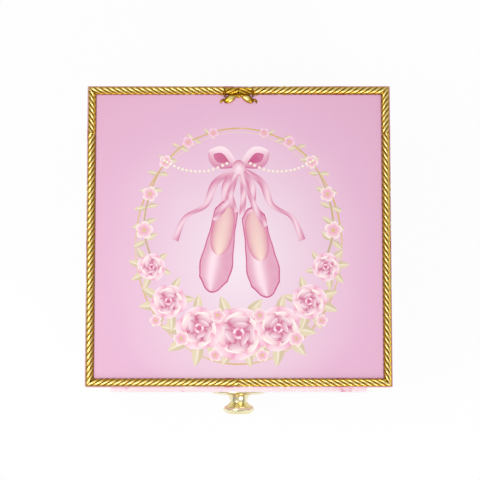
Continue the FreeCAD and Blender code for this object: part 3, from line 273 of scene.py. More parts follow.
def makeSprigGroup():
    # a scatter of small five-petalled flowers over a flat place
    group, inside, outside = newGroup(
        "flowerScatter",
        (("Vector", "NodeSocketVector", None), ("Scale", "NodeSocketFloat", 90),
         ("Size", "NodeSocketFloat", 0.3)),
        (("Petal", "NodeSocketFloat"), ("Heart", "NodeSocketFloat"), ("Pick", "NodeSocketColor")))
    cells = group.nodes.new("ShaderNodeTexVoronoi")
    cells.voronoi_dimensions = "2D"
    cells.inputs["Randomness"].default_value = sprigLook["jitter"]
    group.links.new(inside.outputs["Vector"], cells.inputs["Vector"])
    group.links.new(inside.outputs["Scale"], cells.inputs["Scale"])
    # the way from the middle of the flower, measured in cells
    away = group.nodes.new("ShaderNodeVectorMath")
    away.operation = "SUBTRACT"
    for index, source in enumerate((inside.outputs["Vector"], cells.outputs["Position"])):
        scaled = group.nodes.new("ShaderNodeVectorMath")
        scaled.operation = "SCALE"
        group.links.new(source, scaled.inputs[0])
        group.links.new(inside.outputs["Scale"], scaled.inputs["Scale"])
        group.links.new(scaled.outputs[0], away.inputs[index])
    split = group.nodes.new("ShaderNodeSeparateXYZ")
    group.links.new(away.outputs[0], split.inputs[0])
    pick = group.nodes.new("ShaderNodeSeparateColor")
    group.links.new(cells.outputs["Color"], pick.inputs[0])
    far = group.nodes.new("ShaderNodeVectorMath")
    far.operation = "LENGTH"
    group.links.new(away.outputs[0], far.inputs[0])
    # each flower has its own turn and size
    angle = mathNode(group, "ARCTAN2", split.outputs["Y"], split.outputs["X"])
    angle = mathNode(group, "ADD", angle, mathNode(group, "MULTIPLY", pick.outputs[0], 6.28))
    wave = mathNode(group, "COSINE", mathNode(group, "MULTIPLY", angle, sprigLook["petals"] / 2))
    wave = mathNode(group, "ABSOLUTE", wave)
    grown = mathNode(group, "MULTIPLY_ADD", pick.outputs[1], sprigLook["spread"], sprigLook["least"])
    wide = mathNode(group, "MULTIPLY", inside.outputs["Size"], grown)
    reach = mathNode(group, "MULTIPLY_ADD", wave, sprigLook["notch"], 1 - sprigLook["notch"])
    reach = mathNode(group, "MULTIPLY", reach, wide)
    petal = mathNode(group, "LESS_THAN", far.outputs["Value"], reach)
    middle = mathNode(group, "MULTIPLY", wide, sprigLook["heart"])
    heart = mathNode(group, "LESS_THAN", far.outputs["Value"], middle)
    group.links.new(petal, outside.inputs["Petal"])
    group.links.new(heart, outside.inputs["Heart"])
    group.links.new(cells.outputs["Color"], outside.inputs["Pick"])
    return group


grainGroup = makeGrainGroup()
sprigGroup = makeSprigGroup()
print("shader groups ready")


def groupNode(tree, group, **values):
    node = tree.nodes.new("ShaderNodeGroup")
    node.node_tree = group
    for label, value in values.items():
        node.inputs[label].default_value = value
    return node


def finish(name, rough, metal=0.0):
    material = bpy.data.materials.new(name)
    material.use_nodes = True
    tree = material.node_tree
    surface = tree.nodes["Principled BSDF"]
    surface.inputs["Roughness"].default_value = rough
    surface.inputs["Metallic"].default_value = metal
    return material, tree, surface


def addBump(tree, surface, height, strength, distance):
    bump = tree.nodes.new("ShaderNodeBump")
    bump.inputs["Strength"].default_value = strength
    bump.inputs["Distance"].default_value = distance
    tree.links.new(height, bump.inputs["Height"])
    tree.links.new(bump.outputs["Normal"], surface.inputs["Normal"])


def addGloss(tree, surface, shade, spread, least):
    gloss = mathNode(tree, "MULTIPLY_ADD", shade, spread, least)
    tree.links.new(gloss, surface.inputs["Roughness"])


def tinted(name, color, darker, rough, metal=0.0, scale=2500, mottle=60, strength=0.15, depth=0.04 * mm):
    # one colour with a slow tint, uneven gloss and a fine tooth
    material, tree, surface = finish(name, rough, metal)
    grain = groupNode(tree, grainGroup, Scale=scale, Mottle=mottle)
    color = mixColor(tree, grain.outputs["Tint"], linear(darker), linear(color))
    tree.links.new(color, surface.inputs["Base Color"])
    addGloss(tree, surface, grain.outputs["Tint"], 0.16, rough - 0.08)
    addBump(tree, surface, grain.outputs["Height"], strength, depth)
    return material


caseLook = {
    "pale": (243, 214, 228),
    "pink": (228, 160, 192),
    "petal": (214, 92, 146),
    "cream": (252, 240, 232),
    "heart": (214, 170, 72),
    "lining": (236, 168, 196),
    "card": (252, 236, 238),
    "veil": (250, 236, 240),
    "glowHeight": 55 * mm,
    "glowReach": 80 * mm,
    "flowerScale": 75,
    "flowerSize": 0.36,
    "pinkShare": 0.55,
    "fleckScale": 130,
    "rubShare": 0.014,
    "rubWide": 0.9 * mm,
    "rubScale": 240,
    "rubMost": 0.6,
    "rubContrast": 2.2,
    "rubStart": -0.55,
    "edgeDeep": 0.5 * mm,
    "skin": 0.6 * mm,
}


def flowerPrint(tree, x, y, z, onSide):
    # flowers on pink that pales towards the middle of each wall
    across = tree.nodes.new("ShaderNodeMix")
    tree.links.new(onSide, across.inputs[0])
    tree.links.new(x, across.inputs[2])
    tree.links.new(y, across.inputs[3])
    flat = tree.nodes.new("ShaderNodeCombineXYZ")
    tree.links.new(across.outputs[0], flat.inputs[0])
    tree.links.new(z, flat.inputs[1])
    far = tree.nodes.new("ShaderNodeVectorMath")
    far.operation = "DISTANCE"
    tree.links.new(flat.outputs[0], far.inputs[0])
    far.inputs[1].default_value = (0, caseLook["glowHeight"], 0)
    glow = rampNode(tree, mathNode(tree, "DIVIDE", far.outputs["Value"], caseLook["glowReach"]),
                    ((0.0, linear(caseLook["pale"])), (1.0, linear(caseLook["pink"]))))
    sprig = groupNode(tree, sprigGroup, Scale=caseLook["flowerScale"], Size=caseLook["flowerSize"])
    tree.links.new(flat.outputs[0], sprig.inputs["Vector"])
    which = tree.nodes.new("ShaderNodeSeparateColor")
    tree.links.new(sprig.outputs["Pick"], which.inputs[0])
    isCream = mathNode(tree, "GREATER_THAN", which.outputs[2], caseLook["pinkShare"])
    petalColor = mixColor(tree, isCream, linear(caseLook["petal"]), linear(caseLook["cream"]))
    color = mixColor(tree, sprig.outputs["Petal"], glow, petalColor)
    return mixColor(tree, sprig.outputs["Heart"], color, linear(caseLook["heart"]))


def cardEdge(tree, color, spot, y, z):
    # upper edge of the drawer front: bare pale card with a few printed flecks
    level = mathNode(tree, "ABSOLUTE", mathNode(tree, "SUBTRACT", z, frontHigh.z))
    onEdge = mathNode(tree, "MULTIPLY", mathNode(tree, "LESS_THAN", level, caseLook["edgeDeep"]),
                      mathNode(tree, "LESS_THAN", y, -lidHigh.y))
    fleck = rampNode(tree, noiseNode(tree, spot, caseLook["fleckScale"], 2),
                     ((0.62, linear(caseLook["card"])), (0.72, linear(caseLook["petal"]))))
    return mixColor(tree, onEdge, color, fleck)


def rubbedEdges(tree, color, spot, sideways, depthways, z):
    # paper rubbed pale along the corners, the lid seam and the foot
    corner = mathNode(tree, "MINIMUM", mathNode(tree, "DIVIDE", sideways, lidHigh.x),
                      mathNode(tree, "DIVIDE", depthways, lidHigh.y))
    rise = 1 / caseLook["rubShare"]
    rubbed = mathNode(tree, "MULTIPLY_ADD", corner, rise, 1 - rise)
    for seam in (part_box("lid_rim_front")[0].z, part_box("side_panel_left")[1].z, 0.0):
        off = mathNode(tree, "ABSOLUTE", mathNode(tree, "SUBTRACT", z, seam))
        near = mathNode(tree, "SUBTRACT", 1.0, mathNode(tree, "DIVIDE", off, caseLook["rubWide"]))
        rubbed = mathNode(tree, "MAXIMUM", rubbed, near)
    patchy = noiseNode(tree, spot, caseLook["rubScale"], 4, 0.65)
    patchy = mathNode(tree, "MULTIPLY_ADD", patchy, caseLook["rubContrast"], caseLook["rubStart"])
    patchy = mathNode(tree, "MAXIMUM", patchy, 0.0)
    rubbed = mathNode(tree, "MULTIPLY", mathNode(tree, "MAXIMUM", rubbed, 0.0), patchy)
    rubbed = mathNode(tree, "MINIMUM", rubbed, caseLook["rubMost"])
    return mixColor(tree, rubbed, color, linear(caseLook["card"]))


def makeCasePaper():
    # printed paper outside, plain pink paper on the inner faces
    material, tree, surface = finish("casePaper", 0.42)
    spot, x, y, z = splitPlace(tree)
    sideways = mathNode(tree, "ABSOLUTE", x)
    depthways = mathNode(tree, "ABSOLUTE", y)
    onSide = mathNode(tree, "GREATER_THAN", sideways, lidHigh.x - caseLook["skin"])
    onFace = mathNode(tree, "GREATER_THAN", depthways, lidHigh.y - caseLook["skin"])
    onTop = mathNode(tree, "GREATER_THAN", z, lidTop - caseLook["skin"] / 2)
    outer = mathNode(tree, "MAXIMUM", onSide, mathNode(tree, "MAXIMUM", onFace, onTop))
    color = mixColor(tree, outer, linear(caseLook["lining"]), flowerPrint(tree, x, y, z, onSide))
    color = cardEdge(tree, color, spot, y, z)
    color = rubbedEdges(tree, color, spot, sideways, depthways, z)
    grain = groupNode(tree, grainGroup, Scale=3000, Mottle=45)
    veil = mathNode(tree, "MULTIPLY", grain.outputs["Tint"], 0.12)
    tree.links.new(mixColor(tree, veil, color, linear(caseLook["veil"])), surface.inputs["Base Color"])
    addGloss(tree, surface, grain.outputs["Tint"], 0.2, 0.32)
    addBump(tree, surface, grain.outputs["Height"], 0.12, 0.03 * mm)
    return material


panelLook = {
    "glow": (243, 226, 236),
    "middle": (236, 205, 223),
    "edge": (229, 178, 208),
    "corner": (224, 168, 199),
    "peach": (246, 228, 228),
    "veil": (255, 250, 252),
    "centre": (0.0, -10 * mm),
    "reach": (52 * mm, 62 * mm),
    "cloudScale": 38,
    "cloud": 0.22,
    "fade": 0.62,
    "peachSlope": -16,
    "peachStart": -0.42,
    "peachMost": 0.7,
}


def makePanelPrint():
    # pale upright glow on pink, as on printed card
    material, tree, surface = finish("panelPrint", 0.38)
    spot, x, y = splitPlace(tree)[:3]
    squares = []
    for part, centre, reach in zip((x, y), panelLook["centre"], panelLook["reach"]):
        share = mathNode(tree, "DIVIDE", mathNode(tree, "SUBTRACT", part, centre), reach)
        squares.append(mathNode(tree, "MULTIPLY", share, share))
    far = mathNode(tree, "SQRT", mathNode(tree, "ADD", squares[0], squares[1]))
    cloud = noiseNode(tree, spot, panelLook["cloudScale"])
    cloud = mathNode(tree, "MULTIPLY_ADD", cloud, panelLook["cloud"], -panelLook["cloud"] / 2)
    far = mathNode(tree, "ADD", far, cloud)
    color = rampNode(tree, mathNode(tree, "MULTIPLY", far, panelLook["fade"]), (
        (0.0, linear(panelLook["glow"])), (0.28, linear(panelLook["middle"])),
        (0.62, linear(panelLook["edge"])), (1.0, linear(panelLook["corner"]))))
    # a warmer tone low down in the glow
    low = mathNode(tree, "MULTIPLY_ADD", y, panelLook["peachSlope"], panelLook["peachStart"])
    low = mathNode(tree, "MAXIMUM", low, 0.0)
    low = mathNode(tree, "MULTIPLY", low, mathNode(tree, "SUBTRACT", 1.0, far))
    low = mathNode(tree, "MINIMUM", mathNode(tree, "MAXIMUM", low, 0.0), panelLook["peachMost"])
    color = mixColor(tree, low, color, linear(panelLook["peach"]))
    grain = groupNode(tree, grainGroup, Scale=4200, Mottle=120)
    veil = mathNode(tree, "MULTIPLY", grain.outputs["Height"], 0.06)
    tree.links.new(mixColor(tree, veil, color, linear(panelLook["veil"])), surface.inputs["Base Color"])
    addGloss(tree, surface, grain.outputs["Tint"], 0.16, 0.3)
    addBump(tree, surface, grain.outputs["Height"], 0.08, 0.02 * mm)
    return material


# colours of the painted light on the gold thread, from painted shade in the grooves to a painted highlight
# on the crowns
threadLook = {
    "paintedShade": (140, 92, 16),
    "side": (194, 148, 42),
    "crown": (220, 184, 74),
    "light": (253, 235, 154),
}


def makeRopeGold():
    # gold thread with painted shade and painted highlight: brown where strands meet low down, pale on the
    # crowns
    material, tree, surface = finish("ropeGold", 0.3, 1.0)
    # painted shade and highlight, carried on the mesh as a value from groove to crown
    paintedShade = tree.nodes.new("ShaderNodeAttribute")
    paintedShade.attribute_name = "paintedShade"
    grain = groupNode(tree, grainGroup, Scale=5200, Mottle=420)
    depth = mathNode(tree, "MULTIPLY_ADD", grain.outputs["Tint"], 0.3, paintedShade.outputs["Fac"])
    color = rampNode(tree, depth, (
        (0.0, linear(threadLook["paintedShade"])), (0.42, linear(threadLook["side"])),
        (0.75, linear(threadLook["crown"])), (1.0, linear(threadLook["light"]))))
    tree.links.new(color, surface.inputs["Base Color"])
    addGloss(tree, surface, grain.outputs["Height"], 0.2, 0.2)
    addBump(tree, surface, grain.outputs["Height"], 0.25, 0.05 * mm)
    return material


casePaper = makeCasePaper()
panelPrint = makePanelPrint()
ropeGold = makeRopeGold()
knobGold = tinted("knobGold", (252, 246, 214), (232, 218, 162), 0.22, 1.0, scale=900, mottle=140,
                  strength=0.05, depth=0.02 * mm)
hingeBrass = tinted("hingeBrass", (222, 184, 106), (176, 132, 58), 0.34, 1.0, scale=1600, mottle=260)
workBrass = tinted("workBrass", (214, 176, 94), (168, 128, 58), 0.36, 1.0, scale=1400, mottle=200)
workSteel = tinted("workSteel", (190, 192, 196), (140, 142, 148), 0.32, 1.0, scale=1500, mottle=240)
workZinc = tinted("workZinc", (168, 170, 172), (128, 130, 132), 0.5, 1.0, scale=1200, mottle=160,
                  strength=0.3)
ivoryPlastic = tinted("ivoryPlastic", (236, 230, 212), (218, 210, 190), 0.48, scale=1200, mottle=110)
blackPlastic = tinted("blackPlastic", (46, 46, 50), (30, 30, 33), 0.5, scale=1500, mottle=130)
frameGold = tinted("frameGold", (226, 186, 92), (178, 132, 44), 0.3, 1.0, scale=900, mottle=200)
mirrorGlass = tinted("mirrorGlass", (232, 238, 240), (222, 230, 234), 0.09, 1.0, scale=300, mottle=30,
                     strength=0.0, depth=0.0)
drawerPaper = tinted("drawerPaper", (240, 176, 202), (230, 158, 188), 0.55, scale=2600, mottle=50,
                     strength=0.2)

velvetLook = {
    "pile": (216, 104, 150),
    "deep": (150, 52, 96),
    "sheen": (255, 214, 230),
    "pileScale": 2600,
    "napScale": 46,
}


def makeVelvet():
    material, tree, surface = finish("roseVelvet", 0.9)
    surface.inputs["Sheen Weight"].default_value = 0.7
    surface.inputs["Sheen Roughness"].default_value = 0.35
    surface.inputs["Sheen Tint"].default_value = linear(velvetLook["sheen"])
    spot = objectPlace(tree)
    pile = noiseNode(tree, spot, velvetLook["pileScale"], 3, 0.7)
    nap = noiseNode(tree, spot, velvetLook["napScale"])
    shade = mathNode(tree, "MULTIPLY_ADD", pile, 0.55, mathNode(tree, "MULTIPLY_ADD", nap, 0.9, -0.25))
    color = rampNode(tree, shade, ((0.15, linear(velvetLook["deep"])), (0.85, linear(velvetLook["pile"]))))
    tree.links.new(color, surface.inputs["Base Color"])
    addBump(tree, surface, pile, 0.6, 0.25 * mm)
    return material


velvet = makeVelvet()
print("finishes ready")

nodeFinishes = {
    casePaper: "bottom_panel side_panel_left side_panel_right back_panel front_panel lid_board "
               "lid_rim_front lid_rim_back lid_rim_left lid_rim_right drawer_front",
    panelPrint: "lid_picture",
    drawerPaper: "compartment_floor bay_partition drawer_guides drawer_side_left drawer_side_right "
                 "drawer_back drawer_bottom",
    velvet: "floor_lining stage_platform tray_wall drawer_lining ring_rolls",
    knobGold: "knob knob_rosette",
    hingeBrass: "hinge_case_leaves hinge_lid_leaves hinge_pins hinge_case_screws hinge_lid_screws",
    mirrorGlass: "mirror",
    frameGold: "mirror_frame",
    workZinc: "bedplate",
    workSteel: "bedplate_screws comb comb_screws knob_screw mainspring winding_arbor stop_plunger "
               "plunger_spring dancer_spring dancer_spindle",
    workBrass: "music_cylinder winding_key spindle_bush plunger_guide",
    ivoryPlastic: "spring_barrel cylinder_gear governor_pinion dancer_figure dancer_tutu",
    blackPlastic: "governor_housing governor_fan",
    ropeGold: "rope_front rope_back rope_left rope_right bow_ornament",
}
for material, names in nodeFinishes.items():
    for name in names.split():
        slots = cadNodes[name].data.materials
        slots.clear()
        slots.append(material)

# rope border: five strands laid round each other, mirrored at the joints
ropeLook = {
    "count": 5,
    "strand": 0.63 * mm,
    "lay": 0.98 * mm,
    "lead": 12.15 * mm,
    "outwards": 0.2 * mm,
    "steps": 28,
    "sides": 10,
    "bowHalf": 5.8 * mm,
    "jointBack": 19 * mm,
    # painted shade: strands darken towards the rope's axis and towards both edges of the rope
    "shadeFrom": 0.66,
    "edgeFrom": 0.45,
    "edgeWide": 0.5,
    "edgeShade": 0.7,
    "spareTurns": 2,
}
ropeFrontLow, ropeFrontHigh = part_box("rope_front")
ropeOuterX, ropeOuterY = ropeFrontHigh.x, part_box("rope_back")[1].y
ropeInset = (ropeFrontHigh.y - ropeFrontLow.y) / 2 - ropeLook["outwards"]
ropeMidX, ropeMidY = ropeOuterX - ropeInset, ropeOuterY - ropeInset
ropeReach = ropeLook["strand"] + ropeLook["lay"]
ropeAxis = ropeFrontHigh.z - ropeReach
ropeJointY = lidHigh.y - ropeLook["jointBack"]
bedGap = 0.02 * mm  # cut pieces stop this far above the lid


def ropeStrands(name):
    # rings of the strands, set round the X axis
    rings = []
    for strand in range(ropeLook["count"]):
        bpy.ops.mesh.primitive_circle_add(vertices=ropeLook["sides"], radius=ropeLook["strand"])
        ring = newest(name + str(strand))
        ring.rotation_euler = (0, math.radians(90), 0)
        angle = math.radians(90 + 360 * strand / ropeLook["count"])
        ring.location = (0, ropeLook["lay"] * math.cos(angle), ropeLook["lay"] * math.sin(angle))
        rings.append(settle(ring))
    return together(rings, name)


def ropeRun(name, start, stop, hand, cuts):
    # strands swept along X, set between the two ends and cut to length
    length = (stop - start).length
    count, spare = ropeLook["count"], ropeLook["spareTurns"]
    turns = max(1, round(length / ropeLook["lead"] * count)) / count
    lead = length / turns
    steps = int(ropeLook["steps"] * (turns + spare))
    rope = ropeStrands(name)
    applyModifier(rope, "SCREW", axis="X", angle=hand * 2 * math.pi * (turns + spare),
                  screw_offset=lead * (turns + spare), steps=steps, render_steps=steps,
                  use_merge_vertices=False, use_smooth_shade=True)
    outward(rope)
    # painted shade on the strands: dark deep between them and along both edges, painted light on the crowns
    paintedShade = rope.data.attributes.new("paintedShade", "FLOAT", "POINT")
    low = ropeLook["shadeFrom"] * ropeReach
    for vertex, value in zip(rope.data.vertices, paintedShade.data):
        far = math.hypot(vertex.co.y, vertex.co.z)
        edge = clamp((abs(vertex.co.y) / ropeReach - ropeLook["edgeFrom"]) / ropeLook["edgeWide"])
        value.value = clamp((far - low) / (ropeReach - low)) * (1 - ropeLook["edgeShade"] * edge)
    along = (stop - start).normalized()
    rope.rotation_euler = (0, 0, math.atan2(along.y, along.x))
    rope.location = Vector((start.x, start.y, ropeAxis)) - along * lead * spare / 2
    settle(rope)
    cutAway(rope, (0, 0, lidTop + bedGap), (0, 0, -1), False)
    for point, normal in cuts:
        cutAway(rope, point, normal)
    return rope


mitre = math.sqrt(0.5)
ropes = {"rope_front": [], "rope_back": [], "rope_left": [], "rope_right": []}
for side in (-1, 1):
    endX, midX, bowEnd = side * ropeOuterX, side * ropeMidX, side * ropeLook["bowHalf"]
    frontCorner, backCorner = (endX, -ropeOuterY, 0), (endX, ropeOuterY, 0)
    joint = Vector((midX, ropeJointY, 0))
    ropes["rope_front"].append(ropeRun(
        "ropeFront", Vector((0, -ropeMidY, 0)), Vector((endX, -ropeMidY, 0)), side,
        (((0, 0, 0), (-side, 0, 0)), (frontCorner, (side * mitre, mitre, 0)))))
    ropes["rope_back"].append(ropeRun(
        "ropeBack", Vector((bowEnd, ropeMidY, 0)), Vector((endX, ropeMidY, 0)), -side,
        (((bowEnd, 0, 0), (-side, 0, 0)), (backCorner, (side * mitre, -mitre, 0)))))
    sideRuns = ropes["rope_left" if side < 0 else "rope_right"]
    sideRuns.append(ropeRun(
        "ropeSideFront", joint, Vector((midX, -ropeOuterY, 0)), -side,
        (((0, ropeJointY, 0), (0, 1, 0)), (frontCorner, (-side * mitre, -mitre, 0)))))
    sideRuns.append(ropeRun(
        "ropeSideBack", joint, Vector((midX, ropeOuterY, 0)), side,
        (((0, ropeJointY, 0), (0, -1, 0)), (backCorner, (-side * mitre, mitre, 0)))))
for node, runs in ropes.items():
    rope = together(runs, "ropeBorder_" + node.removeprefix("rope_"))
    place(rope, "lid", "gold_trim", ropeGold, node)
print("rope border laid")

# bow ornament: a bound band, two drooping loops and short tails
# each lump is (name, place, half sizes, turn); places run from the middle and the back of the bow
bowLook = {
    "knot": ("bowKnot", (0, 3.4, 0.5), (1.1, 0.9, 0.8), 0),
    "sides": (
        ("bowLoop", (3.5, 4.6, 0.75), (2.7, 1.5, 1.25), -33),
        ("bowFold", (1.9, 3.5, 0.7), (1.9, 0.6, 0.9), -12),
        ("bowBinding", (5.5, 2.1, 0.7), (0.5, 1.95, 1.75), 4),
        ("bowTail", (6.55, 2.7, 0.35), (1.05, 0.55, 0.5), -14),
        ("bowTail", (6.6, 5.3, 0.35), (1.05, 0.55, 0.5), -36),
        ("bowFlare", (6.95, 5.75, 0.3), (0.35, 0.95, 0.4), 12),
    ),
    "bandHalf": 5.7 * mm,
    "bandBack": 1.45 * mm,
    # painted shade on the bow: the band darkened, the lumps held below full painted highlight
    "bandShade": 0.6,
    "lumpShade": 0.8,
    "lumpHigh": 1.9 * mm,
    "underBack": 3.3 * mm,
    "underWide": 0.6 * mm,
    "underLeast": 0.15,
    "turnFrom": 3.7 * mm,
    "turnWide": 1.5 * mm,
    "turnShade": 0.9,
    "voxel": 0.12 * mm,
}
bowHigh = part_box("bow_ornament")[1]


def puff(lump, side):
    # a rounded lump on the lid
    name, (x, back, rise), half, turn = lump
    spot = (side * x * mm, bowHigh.y - back * mm, lidTop + rise * mm)
    bpy.ops.mesh.primitive_uv_sphere_add(segments=24, ring_count=14, radius=mm, location=spot,
                                         rotation=(0, 0, math.radians(side * turn)))
    obj = newest(name)
    obj.scale = half
    return settle(obj)


def makeBow():
    lumps = [puff(bowLook["knot"], 1)]
    for side in (-1, 1):
        lumps += [puff(lump, side) for lump in bowLook["sides"]]
    bow = together(lumps, "bowOrnament")
    applyModifier(bow, "REMESH", mode="VOXEL", voxel_size=bowLook["voxel"], use_smooth_shade=True)
    applyModifier(bow, "SMOOTH", factor=0.5, iterations=2)
    cutAway(bow, (0, 0, lidTop + bedGap), (0, 0, -1))
    # painted shade: dark low down, under the band and at the outer ends
    paintedShade = bow.data.attributes.new("paintedShade", "FLOAT", "POINT")
    bandEdge = bowHigh.y - bowLook["underBack"]
    for vertex, value in zip(bow.data.vertices, paintedShade.data):
        height = clamp((vertex.co.z - lidTop) / bowLook["lumpHigh"])
        under = clamp((bandEdge - vertex.co.y) / bowLook["underWide"], bowLook["underLeast"])
        turned = clamp((abs(vertex.co.x) - bowLook["turnFrom"]) / bowLook["turnWide"])
        turned = 1 - bowLook["turnShade"] * turned
        value.value = bowLook["lumpShade"] * height * under * turned
    pieces = [bow]
    bandY = bowHigh.y - bowLook["bandBack"]
    for side in (-1, 1):
        end = side * bowLook["bandHalf"]
        band = ropeRun("bowBand", Vector((0, bandY, 0)), Vector((end, bandY, 0)), side,
                       (((0, 0, 0), (-side, 0, 0)), ((end, 0, 0), (side, 0, 0))))
        # the bound band takes a deeper painted shade
        for value in band.data.attributes["paintedShade"].data:
            value.value *= bowLook["bandShade"]
        pieces.append(band)
    place(together(pieces, "bowOrnament"), "lid", "gold_trim", ropeGold, "bow_ornament")


makeBow()
print("bow set")

# printed design: a pair of slippers on a ribbon inside a garland of roses
inkLook = {
    "level": 0.0015 * mm,
    "firstLayer": 4,
    "pale": (251, 226, 234),
    "rose": (236, 150, 184),
    "deep": (198, 58, 122),
    "cream": (254, 246, 238),
    "beige": (226, 198, 160),
    "gold": (214, 172, 84),
    "leaf": (190, 166, 122),
    "leafPale": (232, 216, 180),
    "satinPale": (253, 226, 236),
    "satinDeep": (206, 88, 144),
    "lining": (250, 222, 206),
    "veil": (255, 246, 248),
}
inkPatches = []
inkSpans = []


def inkTone(one, two, share):
    share = clamp(share)
    return tuple(a + (b - a) * share for a, b in zip(linear(inkLook[one]), linear(inkLook[two])))


def inkLayer(points):
    # one layer above the highest patch that this one may cross
    left, right = min(p.x for p in points), max(p.x for p in points)
    low, high = min(p.y for p in points), max(p.y for p in points)
    below = [layer for x0, x1, y0, y1, layer in inkSpans
             if x0 < right and left < x1 and y0 < high and low < y1]
    layer = max(below, default=inkLook["firstLayer"]) + 1
    inkSpans.append((left, right, low, high, layer))
    return layer


def inkPatch(shape, ink, columns, rows):
    # a flat grid bent to shape(along, across), inked by the same two shares
    bpy.ops.mesh.primitive_grid_add(x_subdivisions=columns, y_subdivisions=rows, size=2)
    patch = newest("inkPatch")
    color = patch.data.attributes.new("ink", "FLOAT_COLOR", "POINT")
    for vertex, value in zip(patch.data.vertices, color.data):
        across, along = vertex.co.x, (vertex.co.y + 1) / 2
        x, y = shape(along, across)
        value.color = ink(along, across)
        vertex.co = (x * mm, y * mm, 0)
    layer = inkLayer([vertex.co for vertex in patch.data.vertices])
    for vertex in patch.data.vertices:
        vertex.co.z = panelTop + inkLook["level"] * layer
    if sum(face.normal.z * face.area for face in patch.data.polygons) < 0:
        patch.data.flip_normals()
    inkPatches.append(patch)


def offset(centre, heading, reach):
    # the point at a heading, in degrees from +Y
    way = math.radians(heading)
    return centre[0] + reach * math.sin(way), centre[1] + reach * math.cos(way)


def petal(root, angle, length, width, belly, full, curl=0.0):
    # root point, heading in degrees from +Y, and how far out the widest place lies
    heading = math.radians(angle)

    def shape(share, across):
        along = eased(share)
        half = width / 2 * max(math.sin(math.pi * along ** belly), 0) ** full
        forward = along * length
        aside = across * half + curl * along * along
        return (root[0] + forward * math.sin(heading) + aside * math.cos(heading),
                root[1] + forward * math.cos(heading) - aside * math.sin(heading))
    return shape


def disc(centre, radius, squash=1.0):
    def shape(along, across):
        reach = radius * max(along, 0.001)
        return (centre[0] + reach * math.cos(math.pi * across),
                centre[1] + squash * reach * math.sin(math.pi * across))
    return shape


def oval(centreY, wide, tall, half):
    def shape(along, across):
        turn = 2 * math.pi * along
        return ((wide + half * across) * math.sin(turn),
                centreY + (tall + half * across) * math.cos(turn))
    return shape


def onCurve(points, share):
    # a smooth curve through the points
    spans = len(points) - 1
    index = min(int(share * spans), spans - 1)
    t = share * spans - index
    around = [points[min(max(index + step, 0), spans)] for step in (-1, 0, 1, 2)]
    result = []
    for a, b, c, d in zip(*around):
        result.append(b + 0.5 * t * (c - a + t * (2 * a - 5 * b + 4 * c - d + t * (3 * (b - c) + d - a))))
    return result


def strip(points, width, taper=0.0, twist=0.0):
    # a ribbon along a curve, narrowing to its end and pinched by its twist
    def shape(along, across):
        here = onCurve(points, along)
        ahead = onCurve(points, min(along + 0.01, 1))
        behind = onCurve(points, max(along - 0.01, 0))
        dx, dy = ahead[0] - behind[0], ahead[1] - behind[1]
        size = math.hypot(dx, dy) or 1
        pinch = 1 - twist * (0.5 + 0.5 * math.cos(9.4 * along))
        half = width / 2 * (1 - taper * along) * pinch
        return here[0] - dy / size * across * half, here[1] + dx / size * across * half
    return shape


def plainInk(one, two, share):
    def ink(along, across):
        return inkTone(one, two, share)
    return ink


def petalInk(root, tip, rim):
    def ink(share, across):
        return inkTone(root, tip, eased(share) ** 1.6 + rim * (abs(across) ** 3 - 0.3))
    return ink


def roseInk(root, tip):
    # deep at the root and along both sides, pale on the rolled rim
    def ink(share, across):
        along = eased(share)
        rim = 0.35 if along > 0.9 else 0.0
        return inkTone(root, tip, 0.95 * along ** 1.3 - 0.55 * abs(across) ** 4 + 0.12 * across + rim)
    return ink


def loopInk(side):
    def ink(along, across):
        return inkTone("satinDeep", "satinPale", 0.3 + 0.5 * along - 0.5 * across * side)
    return ink


def leafInk(along, across):
    if abs(across) < 0.12:
        return inkTone("leafPale", "cream", 0.5)
    return inkTone("leaf", "leafPale", 0.25 + 0.35 * along + (0.4 if across > 0 else 0))


def stemInk(along, across):
    return inkTone("leaf", "gold", along)


def threadInk(along, across):
    return inkTone("beige", "gold", 0.5 + 0.5 * math.sin(40 * along))


def pearlInk(along, across):
    lit = 0.5 + 0.5 * math.cos(math.pi * (across - 0.7))
    return inkTone("cream", "beige", along ** 2 * (1.1 - 0.8 * lit))


def satinInk(along, across):
    sheen = 0.5 + 0.5 * math.cos(15 * along + 1.5 * across)
    return inkTone("satinDeep", "satinPale", 0.25 + 0.6 * sheen - 0.3 * abs(across) ** 2)


def knotInk(along, across):
    return inkTone("satinPale", "satinDeep", along * (0.6 + 0.4 * math.sin(math.pi * across)))


def slipperInk(along, across):
    lit = math.exp(-((across + 0.25) / 0.4) ** 2)
    satin = 0.28 + 0.62 * lit * (0.55 + 0.45 * math.sin(3 * along)) + 0.1 * along
    return inkTone("satinDeep", "satinPale", satin)


def liningInk(along, across):
    return inkTone("satinDeep", "lining", 0.25 + 0.75 * (1 - abs(across) ** 2) * (0.4 + 0.6 * along))


def drawLeaves(centre, radius, headings, length):
    for heading in headings:
        root = offset(centre, heading, 0.6 * radius)
        inkPatch(petal(root, heading, length, length * 0.46, 0.85, 0.9, 0.12 * length), leafInk, 6, 8)


# rings of petals from the outside in: count, start, length and width as shares of the radius, inks
roseRings = (
    (5, 0.24, 0.80, 1.16, "rose", "pale"),
    (5, 0.16, 0.66, 0.98, "rose", "cream"),
    (4, 0.10, 0.54, 0.86, "deep", "pale"),
    (3, 0.05, 0.40, 0.66, "deep", "pale"),
)


